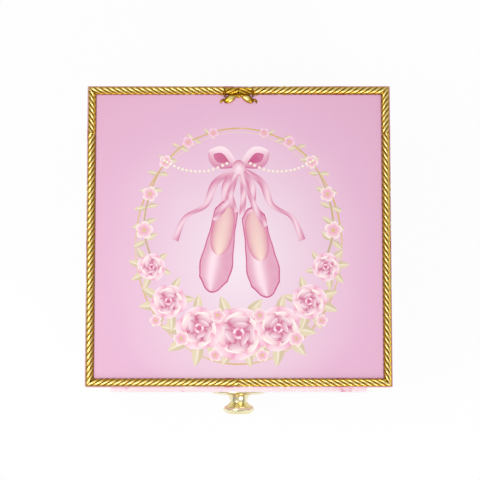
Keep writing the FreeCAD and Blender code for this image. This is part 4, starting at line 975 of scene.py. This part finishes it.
def drawRose(centre, radius, turn):
    for ring, (count, start, length, width, root, tip) in enumerate(roseRings):
        for step in range(count):
            heading = turn + ring * 37 + 360 * step / count
            spot = offset(centre, heading, start * radius)
            reach = length * radius * (1.0 if step % 2 else 0.9)
            shape = petal(spot, heading, reach, width * radius, 1.9, 0.5, 0.1 * radius)
            inkPatch(shape, roseInk(root, tip), 10, 14)
    # wound heart: three curled petals about a dark eye
    inkPatch(disc(centre, 0.23 * radius), petalInk("deep", "rose", 0), 16, 3)
    for step in range(3):
        start = turn + 20 + 120 * step
        arc = [offset(centre, start + math.degrees(bend), 0.17 * radius) for bend in (0, 0.6, 1.2, 1.8)]
        inkPatch(strip(arc, 0.11 * radius, 0.5), petalInk("pale", "rose", 0.2), 4, 10)


def drawBlossom(centre, radius, turn, tip="cream"):
    for step in range(5):
        shape = petal(centre, turn + 72 * step, radius, radius * 0.85, 1.7, 0.6)
        inkPatch(shape, petalInk("rose", tip, 0.3), 6, 10)
    inkPatch(disc(centre, radius * 0.24), petalInk("gold", "beige", 0), 12, 2)


# widths are (share of the length from the heel, share of the full width)
slipperLook = {
    "widths": ((0.0, 0.0), (0.03, 0.42), (0.12, 0.70), (0.3, 0.72), (0.5, 0.84), (0.7, 0.98),
               (0.84, 0.86), (0.94, 0.52), (1.0, 0.0)),
    "outline": 1.09,
    "openingStart": 0.035,
    "openingLong": 0.56,
    "openingWide": 0.62,
    "binding": 1.14,
}


def slipperHalf(along):
    widths = slipperLook["widths"]
    for (low, one), (high, two) in zip(widths, widths[1:]):
        if along <= high:
            share = (along - low) / (high - low)
            if low == 0.0:
                share = math.sqrt(share)
            elif high == 1.0:
                share = 1 - math.sqrt(1 - share)
            else:
                share = share * share * (3 - 2 * share)
            return one + (two - one) * share
    return 0.0


def slipperShape(heel, toe, width, grow=1.0):
    dx, dy = toe[0] - heel[0], toe[1] - heel[1]
    length = math.hypot(dx, dy)
    ux, uy = dx / length, dy / length

    def shape(share, across):
        spot = eased(share)
        half = width / 2 * slipperHalf(spot) * grow
        forward = length * (0.5 + (spot - 0.5) * (1 + 0.4 * (grow - 1)))
        return heel[0] + ux * forward - uy * across * half, heel[1] + uy * forward + ux * across * half
    return shape


def slipperOpening(heel, toe, width, grow=1.0):
    # the foot opening, from behind the heel to above the toe
    dx, dy = toe[0] - heel[0], toe[1] - heel[1]
    size = math.hypot(dx, dy)

    def shape(share, across):
        along = eased(share)
        spot = slipperLook["openingStart"] + slipperLook["openingLong"] * along
        bulge = max(1 - abs(2 * along - 1) ** 2.6, 0) ** 0.5
        half = width / 2 * slipperLook["openingWide"] * grow * bulge
        return (heel[0] + dx * spot - dy / size * across * half,
                heel[1] + dy * spot + dx / size * across * half)
    return shape


def drawSlipper(heel, toe, width):
    outline = plainInk("deep", "satinDeep", 0.3)
    inkPatch(slipperShape(heel, toe, width, slipperLook["outline"]), outline, 10, 24)
    inkPatch(slipperShape(heel, toe, width), slipperInk, 14, 28)
    binding = plainInk("deep", "rose", 0.5)
    inkPatch(slipperOpening(heel, toe, width, slipperLook["binding"]), binding, 10, 18)
    inkPatch(slipperOpening(heel, toe, width), liningInk, 10, 18)


def mirrored(points):
    return [(-x, y) for x, y in points]


# places in millimetres on the panel; paired things are given once and mirrored
designPlan = {
    "middle": -4,
    "outerOval": (40.5, 46.5, 0.3),
    "innerOval": (38.9, 44.9, 0.12),
    "knot": (0, 27),
    "tails": (
        ((0, 27), (-9, 21), (-13, 12), (-21, 7), (-25, -2)),
        ((0, 27), (-5, 20), (-5.5, 10), (-4.2, 4)),
    ),
    "middleRose": (0, -38.5, 10.5, 10),
    "sideRoses": ((15.5, -36.5, 8.6, 40), (27.5, -26, 6.8, 15), (34.2, -12.5, 5.4, 60)),
    "stem": ((34, -10), (37.2, 2), (35.4, 15), (29.6, 28), (20, 37), (9, 41)),
    "stemLeaves": 9,
    "stemBlossoms": ((0.2, 3.6), (0.42, 3.1), (0.62, 2.7), (0.8, 2.3), (0.97, 2.0)),
    "blossoms": ((8.2, -31.5, 2.9), (22.5, -40.5, 3.1), (32.5, -33.5, 2.4), (9.2, -47, 2.6)),
    "slippers": (((-4.2, 13), (-10.8, -22)), ((5.2, 10.5), (11.4, -24))),
    "slipperWide": 12.5,
    "ankleRibbons": (
        ((-9.8, 6), (-4, 14), (0, 27)),
        ((1.2, 8), (1.8, 17), (0, 27)),
        ((-1, 9), (-3.2, 17), (0, 27)),
        ((10.6, 3.5), (5.6, 13), (0, 27)),
    ),
    "swag": ((2.5, 29.5), (12, 25.5), (22, 26), (30, 30)),
    "pearls": 16,
    "pearlRadius": 0.62,
}


def outwardHeading(x, y):
    return math.degrees(math.atan2(x, y - designPlan["middle"]))


def drawStem(side):
    stem = designPlan["stem"] if side > 0 else mirrored(designPlan["stem"])
    inkPatch(strip(stem, 0.8, 0.6), stemInk, 2, 40)
    for step in range(designPlan["stemLeaves"]):
        x, y = onCurve(stem, 0.14 + 0.1 * step)
        outwards = outwardHeading(x, y)
        drawLeaves((x, y), 0.5, (outwards + side * 38, outwards - side * 140), 5.2 - 0.3 * step)
    for share, radius in designPlan["stemBlossoms"]:
        drawBlossom(onCurve(stem, share), radius, 40 * share, "cream" if radius > 2.5 else "pale")


def drawGarland():
    roses = [designPlan["middleRose"]]
    for x, y, radius, turn in designPlan["sideRoses"]:
        roses += [(-x, y, radius, turn), (x, y, radius, -turn)]
    for x, y, radius, turn in roses:
        outwards = outwardHeading(x, y)
        reach = radius * (1.15 if x else 0.75)
        drawLeaves((x, y), radius, [outwards + swing for swing in (-62, -24, 24, 62)], reach)
        drawLeaves((x, y), radius, (outwards + 150, outwards - 150), radius * 0.95)
    for side in (-1, 1):
        drawStem(side)
    for x, y, radius, turn in roses:
        drawRose((x, y), radius, turn)
    for x, y, radius in designPlan["blossoms"]:
        for side in (-1, 1):
            drawBlossom((side * x, y), radius, 7 * side * x)


def drawRibbonBow():
    knot = designPlan["knot"]
    for side in (-1, 1):
        inkPatch(petal(knot, side * 62, 13.5, 9.0, 1.45, 0.7), loopInk(side), 8, 14)
        inside = (knot[0] + side * 3.4, knot[1] + 1.6)
        inkPatch(petal(inside, side * 62, 7.4, 4.0, 1.4, 0.8), petalInk("deep", "satinDeep", 0.2), 6, 10)
    inkPatch(disc(knot, 2.6, 1.1), knotInk, 16, 4)


def drawDesign():
    inkPatch(oval(designPlan["middle"], *designPlan["outerOval"]), threadInk, 2, 120)
    inkPatch(oval(designPlan["middle"], *designPlan["innerOval"]), plainInk("beige", "cream", 0.3), 2, 120)
    for tail in designPlan["tails"]:
        for route in (tail, mirrored(tail)):
            inkPatch(strip(route, 3.0, 0.1, 0.45), satinInk, 4, 40)
    drawGarland()
    for heel, toe in designPlan["slippers"]:
        drawSlipper(heel, toe, designPlan["slipperWide"])
    for route in designPlan["ankleRibbons"]:
        inkPatch(strip(route, 2.5, 0.2, 0.2), satinInk, 4, 24)
    drawRibbonBow()
    for swag in (mirrored(designPlan["swag"]), designPlan["swag"]):
        for step in range(designPlan["pearls"]):
            spot = onCurve(swag, 0.1 + step / 17.5)
            inkPatch(disc(spot, designPlan["pearlRadius"]), pearlInk, 8, 2)
    return together(inkPatches, "printedDesign")


def makePrintInk():
    material, tree, surface = finish("printInk", 0.38)
    ink = tree.nodes.new("ShaderNodeAttribute")
    ink.attribute_name = "ink"
    grain = groupNode(tree, grainGroup, Scale=4200, Mottle=260)
    veil = mathNode(tree, "MULTIPLY", grain.outputs["Tint"], 0.16)
    color = mixColor(tree, veil, ink.outputs["Color"], linear(inkLook["veil"]))
    tree.links.new(color, surface.inputs["Base Color"])
    addGloss(tree, surface, grain.outputs["Tint"], 0.16, 0.3)
    addBump(tree, surface, grain.outputs["Height"], 0.08, 0.02 * mm)
    return material


place(drawDesign(), "lid", "picture_print", makePrintInk())
print("design printed")

# padded ring rolls
rollLook = {
    "satin": (246, 184, 208),
    "satinDeep": (214, 118, 158),
    "sheen": (255, 222, 236),
    "sides": 28,
    "rings": 44,
    "count": 3,
    "start": 0.955,
    "nose": 0.6,
    "simScale": 20,
    "voxel": 0.62 * mm,
    "pressure": 4.0,
    "spare": 0.035,
    "bending": 0.08,
    "frames": 20,
    "heldEnd": 0.25,
    "heldBelow": 0.86,
    "cap": 0.32 * mm,
}


def makeSatin():
    material, tree, surface = finish("roseSatin", 0.36)
    surface.inputs["Sheen Weight"].default_value = 0.4
    surface.inputs["Sheen Tint"].default_value = linear(rollLook["sheen"])
    spot = objectPlace(tree)
    weave = tree.nodes.new("ShaderNodeTexWave")
    weave.inputs["Scale"].default_value = 900
    weave.inputs["Distortion"].default_value = 0.6
    tree.links.new(spot, weave.inputs["Vector"])
    slow = mathNode(tree, "MULTIPLY", noiseNode(tree, spot, 120), 0.75)
    shade = mathNode(tree, "MULTIPLY_ADD", weave.outputs["Fac"], 0.25, slow)
    color = rampNode(tree, shade, ((0.2, linear(rollLook["satinDeep"])), (0.8, linear(rollLook["satin"]))))
    tree.links.new(color, surface.inputs["Base Color"])
    addBump(tree, surface, weave.outputs["Fac"], 0.2, 0.06 * mm)
    return material


def stuffRoll(roll, wide, tall):
    # a cloth skin blown against its stuffing, worked at a size that suits the solver
    up = rollLook["simScale"]
    roll.scale = (up, up, up)
    settle(roll)
    applyModifier(roll, "REMESH", mode="VOXEL", voxel_size=rollLook["voxel"] * up, use_smooth_shade=True)
    before = [vertex.co.copy() for vertex in roll.data.vertices]
    # the ends and the underside, which is stuck down, hold still
    end = up * (wide / 2 - rollLook["heldEnd"] * tall)
    base = -rollLook["heldBelow"] * up * tall
    still = [vertex.index for vertex in roll.data.vertices
             if abs(vertex.co.x) > end or vertex.co.z < base]
    roll.vertex_groups.new(name="held").add(still, 1.0, "REPLACE")
    pickOnly(roll)
    bpy.ops.object.modifier_add(type="CLOTH")
    skin = roll.modifiers[-1]
    skin.settings.quality = 5
    skin.settings.use_pressure = True
    skin.settings.uniform_pressure_force = rollLook["pressure"]
    skin.settings.shrink_min = -rollLook["spare"]
    skin.settings.bending_stiffness = rollLook["bending"]
    skin.settings.vertex_group_mass = "held"
    skin.settings.effector_weights.gravity = 0
    skin.collision_settings.use_collision = False
    skin.point_cache.frame_start = 1
    skin.point_cache.frame_end = rollLook["frames"]
    for step in range(1, rollLook["frames"] + 1):
        bpy.context.scene.frame_set(step)
    bpy.ops.object.modifier_apply(modifier=skin.name)
    bpy.context.scene.frame_set(1)
    cap = rollLook["cap"] * up
    for vertex, start in zip(roll.data.vertices, before):
        moved = vertex.co - start
        if moved.length > cap:
            vertex.co = start + moved * (cap / moved.length)
    roll.scale = (1 / up, 1 / up, 1 / up)
    settle(roll)
    bpy.ops.object.shade_smooth()


def makeRolls():
    low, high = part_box("ring_rolls")
    wide = high.x - low.x
    tall = (high.z - low.z) / 2
    pitch = ((high.y - low.y) - 2 * tall) / (rollLook["count"] - 1)
    rings = []
    for step in range(rollLook["rings"] + 1):
        share = eased(step / rollLook["rings"])
        near = min(share, 1 - share) * wide / tall
        nose = math.sqrt(max(1 - max(1 - near / rollLook["nose"], 0) ** 2, 0.02))
        radius = tall / mm * rollLook["start"] * nose
        rings.append((0, 0, (share - 0.5) * wide / mm, radius, radius))
    roll = limb("ringRoll", rings, rollLook["sides"])
    roll.rotation_euler = (0, math.radians(90), 0)
    settle(roll)
    stuffRoll(roll, wide, tall)
    rolls = [roll] + [copyOf(roll, "ringRoll") for step in range(rollLook["count"] - 1)]
    for index, roll in enumerate(rolls):
        roll.rotation_euler = (0, 0, math.pi * (index % 2))
        roll.location = (0, low.y + tall + index * pitch, (low.z + high.z) / 2)
        settle(roll)
    pile = together(rolls, "ringRolls")
    place(pile, "case", "satin", makeSatin(), "ring_rolls")


makeRolls()
print("ring rolls padded")

# dancer: painted figure with a layered net skirt
figureLow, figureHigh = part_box("dancer_figure")
tutuLow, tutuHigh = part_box("dancer_tutu")
dancerX, dancerY = 0.0, (tutuLow.y + tutuHigh.y) / 2
figureTall = figureHigh.z - figureLow.z
dollLook = {
    "skin": (246, 206, 184),
    "skinDeep": (226, 170, 146),
    "hair": (150, 96, 52),
    "hairDeep": (104, 62, 32),
    "dress": (226, 96, 150),
    "dressDeep": (186, 58, 112),
    "lip": (206, 84, 104),
    "lipDeep": (186, 66, 90),
    "eye": (64, 46, 44),
    "eyeDeep": (44, 32, 30),
    "footRadius": 2.4 * mm,
    "footTall": 1.0 * mm,
    "footEdge": 0.25 * mm,
}

# all as shares of the stature: rings are (height, back, half width, half depth), those of the arm
# (height, out, back, half width), and beads are (height, aside, back, half sizes)
dollShape = {
    "leg": ((0.005, 0.006, 0.010, 0.010), (0.03, 0.004, 0.014, 0.016), (0.085, 0, 0.0165, 0.018),
            (0.16, 0.002, 0.022, 0.026), (0.22, 0.003, 0.025, 0.029), (0.30, -0.001, 0.0225, 0.025),
            (0.36, -0.002, 0.026, 0.030), (0.45, 0, 0.033, 0.038), (0.53, 0, 0.036, 0.044),
            (0.56, 0, 0.030, 0.040)),
    "legFoot": 0.012,
    "legSpread": 0.018,
    "neck": ((0.70, 0, 0.05, 0.034), (0.725, 0, 0.056, 0.03), (0.742, 0, 0.036, 0.026),
             (0.755, 0, 0.020, 0.020), (0.80, 0, 0.018, 0.018)),
    "bodice": ((0.50, 0, 0.058, 0.046), (0.535, 0, 0.069, 0.058), (0.575, 0, 0.056, 0.047),
               (0.612, 0, 0.046, 0.038), (0.65, -0.002, 0.053, 0.046), (0.685, -0.004, 0.061, 0.052),
               (0.708, -0.002, 0.060, 0.046), (0.714, 0, 0.052, 0.036)),
    "shoe": ((0.024, -0.004, 0.009, 0.010), (0.036, -0.002, 0.0155, 0.0175), (0.069, 0, 0.0185, 0.021),
             (0.096, 0.001, 0.019, 0.021), (0.100, 0.001, 0.016, 0.018)),
    "shoeAside": 0.0145,
    "arm": ((0.728, 0.056, 0.0, 0.0185), (0.79, 0.097, -0.012, 0.0155), (0.855, 0.112, -0.022, 0.0135),
            (0.915, 0.09, -0.03, 0.0125), (0.955, 0.055, -0.034, 0.0105), (0.975, 0.018, -0.036, 0.006)),
    "head": (0.845, 0, -0.002, (0.040, 0.044, 0.050)),
    "nose": (0.838, 0, -0.046, (0.005, 0.006, 0.008)),
    "ear": (0.84, 0.040, 0.004, (0.005, 0.008, 0.011)),
    "eye": (0.848, 0.017, -0.0418, (0.0052, 0.003, 0.0032)),
    "lips": (0.818, 0, -0.0398, (0.0085, 0.0035, 0.0032)),
    "cap": (0.853, 0, 0.006, (0.0435, 0.0455, 0.0505)),
    "bun": (0.893, 0, 0.034, (0.024, 0.022, 0.022)),
    "hairLine": (0, -0.022, 0.862),
    "hairSlope": (0, -0.85, -0.53),
}
dollSkin = tinted("dollSkin", dollLook["skin"], dollLook["skinDeep"], 0.42, scale=900, mottle=260,
                  strength=0.05)
dollHair = tinted("dollHair", dollLook["hair"], dollLook["hairDeep"], 0.4, scale=2400, mottle=900,
                  strength=0.5, depth=0.1 * mm)
dollDress = tinted("dollDress", dollLook["dress"], dollLook["dressDeep"], 0.3, scale=1800, mottle=500,
                   strength=0.3)
dollLip = tinted("dollLip", dollLook["lip"], dollLook["lipDeep"], 0.35, mottle=900)
dollEye = tinted("dollEye", dollLook["eye"], dollLook["eyeDeep"], 0.3, mottle=900)


def bodyPoint(x, y, height):
    # a place in millimetres, from shares of the stature
    return ((dancerX + x * figureTall) / mm, (dancerY + y * figureTall) / mm,
            (figureLow.z + height * figureTall) / mm)


def bodyLimb(name, rings, sides, aside=0.0, spread=0.0):
    # aside is the place to one side at the foot, spread what is added to it by half height
    tall = figureTall / mm
    limbRings = []
    for height, back, wide, deep in rings:
        point = bodyPoint(aside + spread * min(height / 0.5, 1), back, height)
        limbRings.append((*point, wide * tall, deep * tall))
    return roundOff(limb(name, limbRings, sides))


def raisedArm(side):
    # shoulder, elbow and wrist on one bend, with a soft hand
    tall = figureTall / mm
    rings = [(*bodyPoint(side * out, back, height), half * tall, half * tall)
             for height, out, back, half in dollShape["arm"]]
    return roundOff(limb("dollArm", rings, 12))


def bead(name, part, side=1):
    height, aside, back, half = dollShape[part]
    spot = [value * mm for value in bodyPoint(side * aside, back, height)]
    bpy.ops.mesh.primitive_uv_sphere_add(segments=24, ring_count=16, radius=mm, location=spot)
    obj = newest(name)
    obj.scale = [value * figureTall / mm for value in half]
    settle(obj)
    bpy.ops.object.shade_smooth()
    return obj


def makeFoot():
    bpy.ops.mesh.primitive_cylinder_add(
        vertices=32, radius=dollLook["footRadius"], depth=dollLook["footTall"],
        location=(dancerX, dancerY, figureLow.z + dollLook["footTall"] / 2))
    return applyModifier(newest("dollFoot"), "BEVEL", width=dollLook["footEdge"], segments=3)


def makeDoll():
    foot, spread = dollShape["legFoot"], dollShape["legSpread"]
    skin = [bodyLimb("dollLeg", dollShape["leg"], 14, side * foot, side * spread) for side in (-1, 1)]
    skin.append(bodyLimb("dollNeck", dollShape["neck"], 16))
    skin.append(bead("dollHead", "head"))
    skin.append(bead("dollNose", "nose"))
    for side in (-1, 1):
        skin.append(raisedArm(side))
        skin.append(bead("dollEar", "ear", side))
    skin.append(makeFoot())
    place(together(skin, "dancerFigure"), "dancer", "doll_plastic", dollSkin, "dancer_figure")
    bodice = bodyLimb("dancerBodice", dollShape["bodice"], 20)
    place(bodice, "dancer", "doll_plastic", dollDress)
    shoes = [bodyLimb("dollShoe", dollShape["shoe"], 12, side * dollShape["shoeAside"]) for side in (-1, 1)]
    place(together(shoes, "dancerShoes"), "dancer", "doll_plastic", dollDress)
    cap = bead("dollCap", "cap")
    hairLine = [value * mm for value in bodyPoint(*dollShape["hairLine"])]
    cutAway(cap, hairLine, dollShape["hairSlope"])
    place(together([cap, bead("dollBun", "bun")], "dancerHair"), "dancer", "doll_plastic", dollHair)
    eyes = [bead("dollEye", "eye", side) for side in (-1, 1)]
    place(together(eyes, "dancerEyes"), "dancer", "doll_plastic", dollEye)
    place(bead("dancerLips", "lips"), "dancer", "doll_plastic", dollLip)


makeDoll()
tutuLook = {
    "net": (250, 226, 236),
    "netDeep": (240, 184, 208),
    "waist": 0.068,
    "layers": 3,
    "pleats": 36,
    "perPleat": 8,
    "rings": 7,
    "lift": 1.2 * mm,
    "drop": 2.4 * mm,
    "ripple": 0.75 * mm,
    "uneven": 0.35,
    "stagger": 1.3,
    "step": 0.55 * mm,
    "shorter": 0.4 * mm,
    "thick": 0.06 * mm,
}


def makeNet():
    material, tree, surface = finish("skirtNet", 0.6)
    surface.inputs["Sheen Weight"].default_value = 0.5
    spot = objectPlace(tree)
    mesh = tree.nodes.new("ShaderNodeTexVoronoi")
    mesh.feature = "DISTANCE_TO_EDGE"
    mesh.inputs["Scale"].default_value = 2600
    tree.links.new(spot, mesh.inputs["Vector"])
    slow = noiseNode(tree, spot, 320)
    color = rampNode(tree, slow, ((0.3, linear(tutuLook["netDeep"])), (0.7, linear(tutuLook["net"]))))
    tree.links.new(color, surface.inputs["Base Color"])
    addBump(tree, surface, mesh.outputs["Distance"], 0.4, 0.1 * mm)
    return material


skirtNet = makeNet()


def makeTutu(layer):
    # a ring of cloth pushed into pleats that grow towards the hem
    pleats, rings = tutuLook["pleats"], tutuLook["rings"]
    inner = tutuLook["waist"] * figureTall
    outer = (tutuHigh.x - tutuLow.x) / 2 - layer * tutuLook["shorter"]
    level = (tutuLow.z + tutuHigh.z) / 2 + tutuLook["lift"] - layer * tutuLook["step"]
    centre = (dancerX, dancerY, level)
    bpy.ops.mesh.primitive_circle_add(vertices=pleats * tutuLook["perPleat"], radius=inner, location=centre)
    skirt = settle(newest("dancerTutu" + str(layer)))
    bpy.ops.object.mode_set(mode="EDIT")
    bpy.ops.mesh.select_all(action="SELECT")
    radius = inner
    for ring in range(1, rings + 1):
        after = inner + (outer - inner) * ring / rings
        bpy.ops.mesh.extrude_region_move()
        bpy.ops.transform.resize(value=(after / radius, after / radius, 1), center_override=centre)
        radius = after
    bpy.ops.mesh.select_all(action="SELECT")
    bpy.ops.mesh.normals_make_consistent(inside=False)
    bpy.ops.object.mode_set(mode="OBJECT")
    for vertex in skirt.data.vertices:
        x, y = vertex.co.x - dancerX, vertex.co.y - dancerY
        share = (math.hypot(x, y) - inner) / (outer - inner)
        angle = math.atan2(y, x)
        wave = math.sin(pleats * angle + layer * tutuLook["stagger"])
        wave += tutuLook["uneven"] * math.sin(pleats / 2 * angle + layer)
        vertex.co.z += tutuLook["ripple"] * share * wave / 1.2 - tutuLook["drop"] * share ** 2
    applyModifier(skirt, "SOLIDIFY", thickness=tutuLook["thick"], offset=0)
    pickOnly(skirt)
    bpy.ops.object.shade_smooth()
    nodes = ("dancer_tutu",) if layer == 0 else ()
    place(skirt, "dancer", "tulle", skirtNet, *nodes)


for layer in range(tutuLook["layers"]):
    makeTutu(layer)
print("dancer dressed")

# floor, light and camera
stageLook = {
    "floor": (250, 250, 251),
    "floorSize": 6,
    "floorGap": 0.2 * mm,
    "floorGlow": 0.94,
    "sky": 0.86,
    "room": ((0.0, 0.75), (0.5, 0.3), (0.66, 0.5), (1.0, 0.85)),
    "keyLight": ((-0.34, -0.06, 0.74), (0, 0, 0.1), 0.35, 2.0),
    "frontLight": ((0.25, -0.52, 0.4), (0, -0.02, 0.09), 0.38, 1.4),
}


def makeFloor():
    bpy.ops.mesh.primitive_plane_add(size=stageLook["floorSize"], location=(0, 0, -stageLook["floorGap"]))
    floor = newest("studioFloor")
    paint, tree, surface = finish("studioFloorPaint", 0.9)
    surface.inputs["Base Color"].default_value = linear(stageLook["floor"])
    floor.data.materials.append(paint)
    # nearly plain white to the camera and in reflections, with the shadow kept
    glow = tree.nodes.new("ShaderNodeEmission")
    rays = tree.nodes.new("ShaderNodeLightPath")
    seen = mathNode(tree, "MAXIMUM", rays.outputs["Is Glossy Ray"], rays.outputs["Is Transmission Ray"])
    seen = mathNode(tree, "MAXIMUM", rays.outputs["Is Camera Ray"], seen)
    blend = tree.nodes.new("ShaderNodeMixShader")
    tree.links.new(mathNode(tree, "MULTIPLY", seen, stageLook["floorGlow"]), blend.inputs[0])
    tree.links.new(surface.outputs[0], blend.inputs[1])
    tree.links.new(glow.outputs[0], blend.inputs[2])
    tree.links.new(blend.outputs[0], tree.nodes["Material Output"].inputs["Surface"])


def makeRoom():
    # a pale room, brighter overhead than at eye level, and plain white where the camera sees it
    world = bpy.context.scene.world or bpy.data.worlds.new("studio")
    bpy.context.scene.world = world
    world.use_nodes = True
    tree = world.node_tree
    sky = tree.nodes["Background"]
    around = tree.nodes.new("ShaderNodeTexCoord")
    heading = tree.nodes.new("ShaderNodeSeparateXYZ")
    tree.links.new(around.outputs["Generated"], heading.inputs[0])
    height = mathNode(tree, "MULTIPLY_ADD", heading.outputs["Z"], 0.5, 0.5)
    room = rampNode(tree, height, [(spot, (grey, grey, grey, 1)) for spot, grey in stageLook["room"]])
    sight = tree.nodes.new("ShaderNodeLightPath")
    seen = mixColor(tree, sight.outputs["Is Camera Ray"], room, (1, 1, 1, 1))
    tree.links.new(seen, sky.inputs["Color"])
    sky.inputs["Strength"].default_value = stageLook["sky"]


def softLight(name):
    spot, aim, width, power = stageLook[name]
    bpy.ops.object.light_add(type="AREA", location=spot)
    lamp = bpy.context.active_object
    lamp.name = name
    lamp.data.shape = "SQUARE"
    lamp.data.size = width
    lamp.data.energy = power
    lamp.rotation_euler = (Vector(aim) - Vector(spot)).to_track_quat("-Z", "Y").to_euler()


# focal length, centre and frame in pixels of the photograph
cameraLook = {
    "distance": 0.55,
    "tilt": 5.2,
    "focal": 1398,
    "centre": (238.7, 235.3),
    "frame": 480,
    "sensor": 36,
}


def makeCamera():
    away, pixels = cameraLook["distance"], cameraLook["frame"]
    tilt = math.radians(cameraLook["tilt"])
    bpy.ops.object.camera_add(location=(0, -away * math.sin(tilt), lidTop + away * math.cos(tilt)),
                              rotation=(tilt, 0, 0))
    camera = bpy.context.active_object
    camera.data.sensor_width = cameraLook["sensor"]
    camera.data.lens = cameraLook["focal"] / pixels * cameraLook["sensor"]
    camera.data.shift_x = (pixels / 2 - cameraLook["centre"][0]) / pixels
    camera.data.shift_y = -(pixels / 2 - cameraLook["centre"][1]) / pixels
    camera.data.clip_start = 0.01
    bpy.context.scene.camera = camera


makeFloor()
makeRoom()
for name in ("keyLight", "frontLight"):
    softLight(name)
makeCamera()
bpy.context.scene.view_settings.view_transform = "Standard"
print("stage set")
